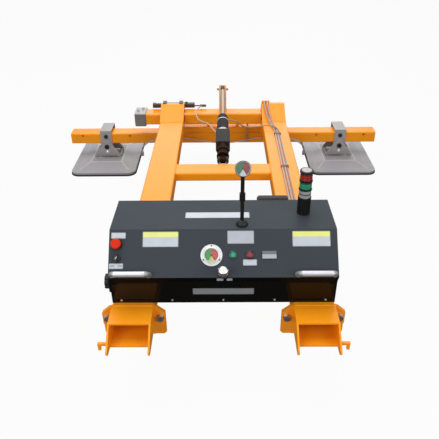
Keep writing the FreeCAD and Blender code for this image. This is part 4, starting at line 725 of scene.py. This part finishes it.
panel_dial = panel.moved(-0.051, 0.097)
stem_dial = Spot((0.084, 0.293, 0.600), to_right, (0.0, 0.5, 0.86603))
dial_profile = [
    (0.0022, dial_height), (0.0022, dial_height + 0.0003), (dial_radius, dial_height + 0.0003),
    (dial_radius, dial_height),
]
bezel = [
    (0.0306, 0.0085), (0.0306, 0.0106), (0.0312, 0.0116), (0.0330, 0.0118),
    (0.0346, 0.0108), (0.0348, 0.0042), (0.0341, 0.0042), (0.0341, 0.0107),
]
number_reach = 0.62 * dial_radius
panel_inks = ((46, 142, 62), (196, 58, 54), (176, 188, 110))
stem_inks = ((22, 108, 62), (140, 30, 38), (196, 200, 208))
for name, spot, inks, bezel_metal in (
    ("panel_dial", panel_dial, panel_inks, alloy),
    ("stem_dial", stem_dial, stem_inks, case_steel),
):
    dial_finish = dial_print(f"{name}_print", spot, *inks)
    turned(name, [spot], dial_profile, dial_finish, "frame", 72, ring=True)
    for mark in range(6):
        angle = np.radians(-135.0 + 54.0 * mark)
        place = spot.moved(number_reach * np.sin(angle), number_reach * np.cos(angle), dial_height + 0.0004)
        lettering(f"{name}_number_{mark}", str(20 * mark), place, 0.0036, pointer)
    turned(f"{name}_bezel", [spot], bezel, bezel_metal, "frame", 72, ring=True)
flange_pitch, flange_thickness = 0.0412, 0.004
flange_screws = [
    panel_dial.moved(flange_pitch * np.sin(turn), flange_pitch * np.cos(turn), flange_thickness)
    for turn in np.radians([0.0, 120.0, 240.0])
]
screw_heads("gauge_flange_screws", flange_screws, 0.0032, 0.002, moulded)


# Buttons, switches and valve
# Moulded push buttons, a black selector with a pale line, a red mushroom button on a dark collar,
# a counter in a grey frame, and a chromed ball lever that opens the valve.
def moulded_colour(name, light, dark, rough=0.2, coat=0.3, shine=0.5):
    """Glossy plastic that drifts between two screen colours."""
    return one_tone(
        name, (30.0, light, dark), (rough, 0.1, 70.0),
        IOR=1.49, Coat_Weight=coat, Coat_Roughness=0.08, Specular_IOR_Level=shine,
    )


def button_plastic(name, spot, middle, edge):
    """Clear moulded button over a coloured disc, with painted shade: the tone darkens from its middle towards
    its edge, as on a lit dome.
    """
    plastic = Finish(name, IOR=1.49, Coat_Weight=0.3, Coat_Roughness=0.08)
    across, rise = plastic.over(spot)
    # Painted shade: the colour darkens with distance from the button's middle.
    painted_dome_shade = plastic.ramp(across * across + rise * rise, 0.003 ** 2, 0.013 ** 2)
    tone = plastic.blend(painted_dome_shade, middle, edge)
    plastic.colour(plastic.blend(plastic.noise(30.0) * 0.2, tone, edge))
    plastic.gloss(0.2, 0.1, 70.0)
    return plastic


green_spot = panel.moved(0.043, 0.098)
red_spot = panel.moved(0.116, 0.098)
dress(button_plastic("green_button_plastic", green_spot, (40, 164, 126), (10, 106, 80)), "green_button")
dress(button_plastic("red_button_plastic", red_spot, (152, 44, 50), (106, 18, 26)), "red_button")
stop_red = moulded_colour("stop_red_plastic", (214, 48, 12), (198, 40, 9), 0.34, 0.0, 0.12)
dress(stop_red, "emergency_stop_button")
ring_profile = [
    (0.0142, 0.0061), (0.0142, 0.0074), (0.0150, 0.0080), (0.0164, 0.0078),
    (0.0176, 0.0066), (0.0178, 0.0005), (0.0172, 0.0005), (0.0172, 0.0061),
]
for name, spot, light, dark in (
    ("green_button_ring", green_spot, (30, 92, 74), (22, 74, 60)),
    ("red_button_ring", red_spot, (64, 28, 30), (50, 22, 25)),
):
    ring_finish = moulded_colour(f"{name}_plastic", light, dark)
    turned(name, [spot], ring_profile, ring_finish, "frame", 48, ring=True)
selector_spot = panel.moved(-0.464, 0.085, 0.0, 45.0)
selector_black = Finish("selector_black", IOR=1.46)
stripe = abs(selector_black.along(selector_spot.origin, selector_spot.up)) < 0.0014
stripe = stripe * (selector_black.along(selector_spot.origin, selector_spot.out) > 0.012)
selector_tone = selector_black.drift(40.0, (22, 22, 23), (34, 34, 35))
selector_black.colour(selector_black.blend(stripe, selector_tone, (214, 216, 220)))
selector_black.gloss(0.35, 0.15, 80.0)
dress(selector_black, "selector_knob")

meter_spot = panel.moved(0.201, 0.098)
meter_grey = Finish("counter_grey", IOR=1.46)
meter_split = meter_grey.along(meter_spot.origin, meter_spot.up) > 0.002
meter_tone = meter_grey.blend(meter_split, (172, 176, 180), (108, 112, 116))
meter_tone = meter_grey.blend(meter_grey.noise(40.0) * 0.2, meter_tone, (90, 92, 95))
meter_grey.colour(meter_tone)
meter_grey.gloss(0.3, 0.15, 80.0)
dress(meter_grey, "hour_meter")

chrome = one_tone("bright_chrome", (12.0, (244, 245, 248), (230, 232, 238)), (0.05, 0.06, 70.0), Metallic=1.0)
dress(chrome, "valve_lever")

# Stack light
# Three ring-ribbed lenses between thin black rings on a ribbed foot: clear below, green, then red.
# The cap on top carries a white disc.
lens_radius = 0.0278
lens_height = 0.038
lens_rise = np.linspace(0.0, lens_height, 49)
lens_swell = lens_radius - 0.0012 * np.cos(2.0 * np.pi * lens_rise / (lens_height / 2.0)) ** 2


def lens_plastic(name, low, bright, seam, seam_at):
    """Clear moulding over a lamp, in its own tone, with painted shade at its seams where the ribs lie in
    shadow.
    The distance from mid height runs from 0 to 1; a seam lies where it is over seam_at, or under it for a
    middle seam."""
    plastic = Finish(name, IOR=1.49, Coat_Weight=0.2, Coat_Roughness=0.1, Specular_IOR_Level=0.3)
    rise = plastic.past(low + lens_height / 2, to_sky)
    from_mid = abs(rise) * (2.0 / lens_height)
    # Painted shade: dark bands at each lens's top and bottom, or across the clear lens's middle, for ribs in
    # shadow.
    dark = plastic.ramp(from_mid, seam_at, seam_at + 0.25) if seam_at > 0.5 else from_mid < seam_at
    tone = plastic.blend(plastic.noise(40.0) * 0.4, bright, dimmed(bright, 0.7))
    plastic.colour(plastic.blend(dark * 0.85, tone, seam))
    plastic.gloss(0.14, 0.1, 60.0)
    return plastic


light_x, light_y = 0.369, 0.399
for colour, low, bright, seam, seam_at in (
    ("clear", 0.406, (158, 162, 160), (24, 24, 24), 0.16),
    ("green", 0.448, (30, 136, 102), (8, 28, 24), 0.55),
    ("red", 0.490, (150, 30, 24), (40, 10, 10), 0.55),
):
    lens_finish = lens_plastic(f"{colour}_lens", low, bright, seam, seam_at)
    lens = turned(
        f"{colour}_light_lens", [Spot((light_x, light_y, low), to_right, to_back)],
        np.stack([lens_swell, lens_rise], axis=1), lens_finish, "frame", 64,
    )
    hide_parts(f"stack_light_{colour}")
cap_profile = [(0.0218, 0.538), (0.0218, 0.5388), (0.0212, 0.5392), (0.0005, 0.5392)]
cap_white = moulded_colour("cap_white", (190, 184, 184), (178, 173, 173), 0.45, 0.0, 0.2)
cap_spot = Spot((light_x, light_y, 0.0), to_right, to_back)
turned("stack_light_disc", [cap_spot], cap_profile, cap_white, "frame")

# Actuator
# Screw actuator in black anodised alloy: brown-black motor, grey gear box, dark outer tube and bright rod.
# Cable ties round the tube hold the two leads where they come in.
actuator_foot = np.array([0.0, 1.588, 0.006])
actuator_way = np.array([0.0, 0.98183, 0.18977])
anodised = Finish("black_anodised", IOR=1.5, Specular_IOR_Level=0.05)
box_start, tube_start, eye_start = 0.157, 0.3145, 0.925
actuator_reach = anodised.along(actuator_foot, actuator_way)
motor_tone = anodised.drift(14.0, (40, 18, 3), (28, 12, 2))
box_tone = anodised.drift(20.0, (66, 64, 62), (55, 53, 53))
tube_tone = anodised.drift(10.0, (52, 50, 54), (42, 40, 44))
body_tone = anodised.blend(actuator_reach > box_start, motor_tone, box_tone)
anodised.colour(anodised.blend(actuator_reach > tube_start, body_tone, tube_tone))
anodised.gloss(0.32, 0.15, 40.0)
dress(anodised, "actuator_body")
rod_steel = Finish("bright_rod", Metallic=1.0)
rod_tone = rod_steel.drift(12.0, (160, 147, 130), (142, 130, 114))
rod_eye = rod_steel.along(actuator_foot, actuator_way) > eye_start
rod_steel.colour(rod_steel.blend(rod_eye, rod_tone, (70, 60, 50)))
rod_steel.gloss(0.14, 0.08, 160.0, 2.0, (1.0, 0.1, 1.0))
dress(rod_steel, "actuator_rod")
tie_white = moulded_colour("cable_tie_white", (226, 226, 222), (206, 206, 200), 0.35, 0.0)
tie_inner, tie_outer, tie_width = 0.0422, 0.0437, 0.009
tie_profile = [
    (tie_inner, 0.0), (tie_inner, tie_width - 0.0005), (tie_inner + 0.0006, tie_width),
    (tie_outer, tie_width - 0.0005), (tie_outer, 0.0005), (tie_inner + 0.0006, 0.0),
]
tie_spots = [
    Spot(actuator_foot + reach * actuator_way, to_right, np.cross(actuator_way, to_right))
    for reach in (0.3195, 0.3315, 0.466)
]
tie_band = turned("actuator_ties", tie_spots, tie_profile, tie_white, "actuator", 48, ring=True)
lock_foot = rounded_loop(0.009, 0.007, 0.001, 3)
lock_top = rounded_loop(0.0075, 0.0055, 0.001, 3)
lock_levels = ((lock_foot, -0.001), (lock_foot, 0.004), (lock_top, 0.005))
tie_locks = [Spot(spot.at(0.0, tie_outer, tie_width / 2), spot.across, -spot.out) for spot in tie_spots]
lock_grid = np.stack([
    np.stack([spot.at(loop[:, 0], loop[:, 1], rise) for loop, rise in lock_levels]) for spot in tie_locks
])
surface("actuator_tie_locks", lock_grid, tie_white, "actuator")

# Limit switch box
# A dark grey moulded switch bar strapped behind the left saddle, with a plug on a stub at its inner end.
# A flat trip lever and a small knurled knob stand on its lid.
switch_grey = moulded_colour("switch_box_grey", (58, 52, 50), (46, 42, 41), 0.4, 0.0)
dress(switch_grey, "limit_box")
switch_lid = Spot((0.0, 2.518, 0.076), to_right, to_back)
trip_lever = plate(
    "switch_trip_lever", switch_lid.moved(-0.512, 0.0), 0.085, 0.016, zinc, thickness=0.003, corner=0.007
)
knob_angle = np.linspace(0.0, 2.0 * np.pi, 48, endpoint=False)
knob_levels = np.array([(0.0088, 0.0), (0.0088, 0.008), (0.0080, 0.0095), (0.0002, 0.0095)])
knob_reach = knob_levels[:, :1] * (1.0 + 0.05 * np.cos(16.0 * knob_angle))
knob_spot = switch_lid.moved(-0.300, 0.0)
switch_knob = surface(
    "switch_knob",
    knob_spot.at(knob_reach * np.cos(knob_angle), knob_reach * np.sin(knob_angle), knob_levels[:, 1:]),
    moulded, "frame",
)

# Tilt head
# Box tube on the tilt shaft, two lever cheeks, and a carrier welded between drop plates and pad beam.
# The end block on the tube's left stub is a cast bearing cover in grey; its top face carries painted light, a
# paler grey than its sides.
cover_grey = Finish("bearing_cover_grey", Coat_Weight=0.1, Coat_Roughness=0.3, Specular_IOR_Level=0.3)
cover_tone = cover_grey.drift(9.0, (124, 120, 115), (108, 104, 99))
cover_top = 0.0375
# Painted light: the face above cover_top is painted a paler grey, as if lit from above.
painted_light_on_top = cover_grey.past(cover_top, to_sky) > 0.0
cover_tone = cover_grey.blend(painted_light_on_top, cover_tone, (176, 173, 176))
cover_grey.colour(cover_tone)
cover_grey.gloss(0.4, 0.15, 40.0)
cover_grey.relief(cover_grey.noise(700.0, 2.0), 0.1, 0.0005)
dress(cover_grey, "end_block")
tube_top = 0.0335
cheek_outer = 0.029
weld_bead("lever_welds", "head", [
    ((side * cheek_outer, 2.398, tube_top), (side * cheek_outer, 2.499, tube_top)) for side in (-1, 1)
])
carrier_half = 0.380
beam_near, beam_far, beam_top = 2.475, 2.595, -0.1735
weld_bead("carrier_welds", "head", [
    ((-carrier_half, beam_near, beam_top), (carrier_half, beam_near, beam_top)),
    ((-carrier_half, beam_far, beam_top), (carrier_half, beam_far, beam_top)),
    ((-carrier_half, beam_near, beam_top), (-carrier_half, beam_far, beam_top)),
    ((carrier_half, beam_near, beam_top), (carrier_half, beam_far, beam_top)),
])
plate_outer, plate_inner, carrier_top = 0.130, 0.110, -0.1195
weld_bead("drop_plate_welds", "head", [
    ((side * x, beam_near + 0.014, carrier_top), (side * x, beam_far - 0.014, carrier_top))
    for side in (-1, 1) for x in (plate_outer, plate_inner)
])

# Sleeves and suction pads
# Sleeves and pads are welded plate sprayed in a satin grey, with a dark rubber seal under each pad. Each
# sleeve has a black locking knob and a dark pivot pin; a bright bolt keeps the yoke's bush below it.
# The pads carry painted shade on their flat middle and painted highlights along their creases.
sleeve_x = 0.990
pad_width, pad_depth, pad_corner, pad_y = 0.530, 0.720, 0.066, 2.535
plateau_half_width, plateau_half_depth = 0.133, 0.175
crown_half_width, crown_half_depth = 0.208, 0.303
lock_z = -0.1955
pivot_z = -0.283
grey_paint = Finish("satin_grey_paint", Coat_Weight=0.15, Coat_Roughness=0.3)
grey_tone = grey_paint.drift(4.0, (168, 163, 163), (156, 151, 151))
scuffs = grey_paint.ramp(grey_paint.noise(34.0, 6.0), 0.60, 0.80)
grey_tone = grey_paint.blend(scuffs * 0.35, grey_tone, (128, 124, 126))
from_middle = abs(grey_paint.past(0.0, to_right)) - sleeve_x
from_lock = grey_paint.past(lock_z, to_sky)
from_pivot = grey_paint.past(pivot_z, to_sky)
depth = grey_paint.past(0.0, to_back)
knob_radius, knob_y = 0.0165, 2.4643
head_radius, head_y = 0.0195, 2.4505
lock_knob = (from_middle * from_middle + from_lock * from_lock < knob_radius ** 2) * (depth < knob_y)
pivot_head = (from_middle * from_middle + from_pivot * from_pivot < head_radius ** 2) * (depth < head_y)
on_pad = grey_paint.ramp(from_pivot, -0.035, -0.085)
grey_tone = grey_paint.blend(on_pad * 0.7, grey_tone, (148, 151, 158))
from_centre = abs(grey_paint.past(pad_y, to_back))
to_plateau = abs(from_middle) - plateau_half_width | from_centre - plateau_half_depth
to_crown = abs(from_middle) - crown_half_width | from_centre - crown_half_depth
hip_run = np.array([crown_half_width - plateau_half_width, crown_half_depth - plateau_half_depth])
hip_run = [float(part) for part in hip_run / np.linalg.norm(hip_run)]
past_width = (abs(from_middle) - plateau_half_width) * hip_run[1]
past_depth = (from_centre - plateau_half_depth) * hip_run[0]
on_hip = grey_paint.ramp(abs(past_width - past_depth), 0.009, 0.001)
on_hip = on_hip * (to_plateau > 0.0) * (to_crown < 0.0)
# Painted highlights: pale lines along the plateau's edge, along the hips and faintly along the crown's edge.
on_edge = grey_paint.ramp(abs(to_plateau + 0.002), 0.009, 0.001)
across_edge = (abs(from_middle) < plateau_half_width) * 0.45 + 0.1
painted_crease_highlight = on_edge * across_edge | on_hip * 0.4 | grey_paint.ramp(abs(to_crown), 0.010, 0.001) * 0.06
# Painted shade: the flat middle of each pad is painted darker than its sloping sides.
grey_tone = grey_paint.blend((to_plateau < 0.0) * on_pad * 0.45, grey_tone, (128, 122, 121))
grey_tone = grey_paint.blend(painted_crease_highlight * on_pad, grey_tone, (214, 217, 222))
grey_paint.colour(grey_paint.blend(lock_knob | pivot_head, grey_tone, (26, 28, 30)))
grey_paint.gloss(0.36, 0.2, 12.0)
grey_paint.relief(grey_paint.noise(500.0, 2.0), 0.08, 0.0005)
dress(grey_paint, "left_sleeve", "right_sleeve", "left_pad_plate", "right_pad_plate")
rubber = one_tone(
    "seal_rubber", (9.0, (54, 57, 58), (45, 48, 49)), (0.6, 0.2, 80.0), IOR=1.5, Specular_IOR_Level=0.25
)
rubber.relief(rubber.noise(900.0, 2.0), 0.12, 0.0005)
seal_section = [
    (-0.038, -0.408), (0.002, -0.408), (0.004, -0.4095), (0.0032, -0.4140), (0.0052, -0.4205),
    (0.0038, -0.4220), (0.0004, -0.4180), (-0.0090, -0.4165), (-0.0170, -0.4215), (-0.0200, -0.4220),
    (-0.0230, -0.4165), (-0.0330, -0.4165), (-0.0380, -0.4200),
]
bolt_profile = [
    (0.0135, 0.0), (0.0135, 0.002), (0.0085, 0.0022), (0.0085, 0.006), (0.0075, 0.0082), (0.0045, 0.0095),
    (0.0002, 0.0098),
]
washer_profile = [
    (0.0125, 0.0), (0.0125, 0.0012), (0.0118, 0.0018), (0.0095, 0.0018), (0.0088, 0.0004), (0.0002, 0.0004),
]
both_sides = (("left", -1), ("right", 1))
for side, sign in both_sides:
    pad_spot = Spot((sign * sleeve_x, pad_y, 0.0), to_right, to_back)
    loops = []
    for reach, height in seal_section:
        loop = rounded_loop(pad_width + 2 * reach, pad_depth + 2 * reach, pad_corner + reach, 12)
        loops.append(pad_spot.at(loop[:, 0], loop[:, 1], height))
    seal = surface(f"{side}_lip_seal", np.stack(loops), rubber, f"{side}_pad", ring=True)
    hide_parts(f"{side}_pad_seal")
    yoke_face = Spot((sign * sleeve_x, 2.451, -0.330), to_right, to_sky)
    turned(f"{side}_yoke_bolt", [yoke_face], bolt_profile, chrome, f"{side}_pad", 24)
    pin_face = Spot((sign * sleeve_x, 2.4395, pivot_z), to_right, to_sky)
    pivot_ring = turned(f"{side}_pivot_ring", [pin_face], washer_profile, moulded, f"{side}_sleeve", 32)

# Lines along the right arm
# Two braided vacuum hoses and a cable are clipped along the arm by black saddles. The hoses climb the
# saddle's slanted roof into a low painted union block.
arm_hose = Finish("arm_hose", IOR=1.46, Coat_Weight=0.4, Coat_Roughness=0.15)
between_lines = 0.4215
cable_side = arm_hose.past(between_lines, to_right) > 0.0
hose_weave = arm_hose.noise(420.0, 2.0, (1.0, 0.35, 1.0))
hose_tone = arm_hose.blend(hose_weave, (196, 172, 162), (134, 108, 98))
arm_hose.colour(arm_hose.blend(cable_side, hose_tone, (150, 128, 120)))
arm_hose.gloss(0.25, 0.15, 60.0)
dress(arm_hose, "arm_hoses", "vacuum_tee")
fitting = Finish("clips_and_union", Coat_Weight=0.3, Coat_Roughness=0.15)
union_near = 2.44
union_part = fitting.past(union_near, to_back) > 0.0
clip_tone = fitting.drift(40.0, (56, 50, 48), (42, 38, 37))
fitting.colour(fitting.blend(union_part, clip_tone, orange_dark))
fitting.gloss(0.3, 0.15, 50.0)
dress(fitting, "hose_fittings")


# Free hoses and cables
# Braided clear vacuum hose and rubber sheathed cable. The cables cross from the frame to the actuator; the
# hoses hang along the pad beam and drop to the pads, in two lengths.
def braided(name, bands, light, dark, low, **constants):
    """Hose with a woven layer: diagonal bands of two screen colours, laid out by its wrap."""
    tube = Finish(name, IOR=1.46, **constants)
    sockets = {"Vector": tube.add("UVMap", {}, {}), "Scale": bands}
    weave = tube.add("TexWave", {"wave_type": "BANDS", "bands_direction": "DIAGONAL"}, sockets)
    tube.colour(tube.blend(weave * 0.7, light, dark))
    tube.gloss(low, 0.15, 60.0)
    return tube


def sheathed(name, light, dark):
    """Rubber cable sheath that drifts between two screen colours."""
    return one_tone(name, (25.0, light, dark), (0.4, 0.15, 80.0), IOR=1.48)


clear_coat = {"Coat_Weight": 0.4, "Coat_Roughness": 0.15}
hose = braided("braided_hose", 14.0, (226, 190, 166), (186, 146, 120), 0.25, **clear_coat)
drop_grey = braided("drop_hose_grey", 6.0, (186, 190, 188), (150, 154, 152), 0.3, Specular_IOR_Level=0.3)
sheath = sheathed("cable_sheath", (182, 144, 96), (150, 114, 72))
pale_sheath = sheathed("pale_cable_sheath", (206, 178, 150), (180, 150, 124))


def cord_line(points):
    """Points along the smooth curve that has the route's points as its control points."""
    curve = bpy.data.curves.new("route", "CURVE")
    curve.dimensions = "3D"
    spline = curve.splines.new("NURBS")
    spline.points.add(len(points) - 1)
    for control, point in zip(spline.points, points):
        control.co = tuple(point) + (1.0,)
    spline.order_u = 3
    spline.use_endpoint_u = True
    spline.resolution_u = 10
    mesh, line = mesh_of(curve)
    bpy.data.meshes.remove(mesh)
    return line


def free_cord(name, node, slot, line, radius, finish, lean, stretch=slice(None)):
    """Tube round a stretch of a cord's smooth line, in place of its CAD tube."""
    piece = surface(name, tube_grid(line, radius, lean, 16)[stretch], finish, None)
    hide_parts(node)
    2 * radius
    return piece


cable_radius = 0.0045
hose_radius = 0.006
actuator_route = [
    (0.427, 2.0222, 0.0129), (0.427, 2.0582, 0.0129), (0.413, 2.0982, 0.0269), (0.375, 2.1262, 0.0349),
    (0.321, 2.1382, 0.0289), (0.261, 2.1422, 0.0169), (0.201, 2.1382, 0.0149), (0.147, 2.1222, 0.0349),
    (0.0922, 2.07993, 0.10069), (0.0422, 2.07793, 0.10069),
]
limit_route = [
    (-0.178, 2.5078, 0.052), (-0.178, 2.4738, 0.060), (-0.191, 2.4298, 0.071), (-0.207, 2.3798, 0.070),
    (-0.212, 2.3238, 0.059), (-0.204, 2.2658, 0.046), (-0.183, 2.2078, 0.048), (-0.155, 2.1498, 0.058),
    (-0.127, 2.0898, 0.074), (-0.1, 2.0278, 0.086), (-0.0755, 1.97491, 0.07157), (-0.0475, 1.91691, 0.06957),
]
half_route = [
    (0.565, 2.463, -0.227), (0.498, 2.463, -0.221), (0.43, 2.463, -0.213), (0.352, 2.463, -0.211),
    (0.28, 2.463, -0.217), (0.205, 2.463, -0.231), (0.13, 2.463, -0.247), (0.052, 2.463, -0.256),
]
drop_route = [
    (0.5652, 2.463, -0.22702), (0.60703, 2.463, -0.23076), (0.6552, 2.463, -0.26202),
    (0.6842, 2.49, -0.29902), (0.7002, 2.52, -0.32602), (0.705, 2.535, -0.3658), (0.705, 2.535, -0.3998),
]
cable_lean = (0.2, 0.3, 1.0)
slide_share = 0.56
for name, node, route, finish, loose_from in (
    ("actuator_lead", "actuator_cable", actuator_route, sheath, 3),
    ("limit_lead", "limit_cable", limit_route, pale_sheath, 4),
):
    lead = free_cord(name, node, "cable_rubber", cord_line(route), cable_radius, finish, cable_lean)
    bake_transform(lead)
cross_line = cord_line(half_route + [(-x, y, z) for x, y, z in half_route[::-1]])
beam_hose = free_cord(
    "beam_hose", "cross_hose", "hose_plastic", cross_line, hose_radius, hose, (0.0, 1.0, 0.2)
)
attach(beam_hose, "head")
for side, sign in both_sides:
    route = [(sign * x, y, z) for x, y, z in drop_route]
    drop_line = cord_line(route)
    middle = int(slide_share * len(drop_line))
    for end, first_body, second_body, stretch, start, stop in (
        ("slide", "head", f"{side}_sleeve", slice(0, middle + 1), route[1], drop_line[middle - 3]),
        ("pad", f"{side}_sleeve", f"{side}_pad", slice(middle, None), drop_line[middle + 2], route[-2]),
    ):
        drop_hose = free_cord(
            f"{side}_{end}_hose", f"{side}_drop_hose", "hose_plastic", drop_line, hose_radius, drop_grey,
            (0.1, 1.0, 0.2), stretch,
        )
        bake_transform(drop_hose)
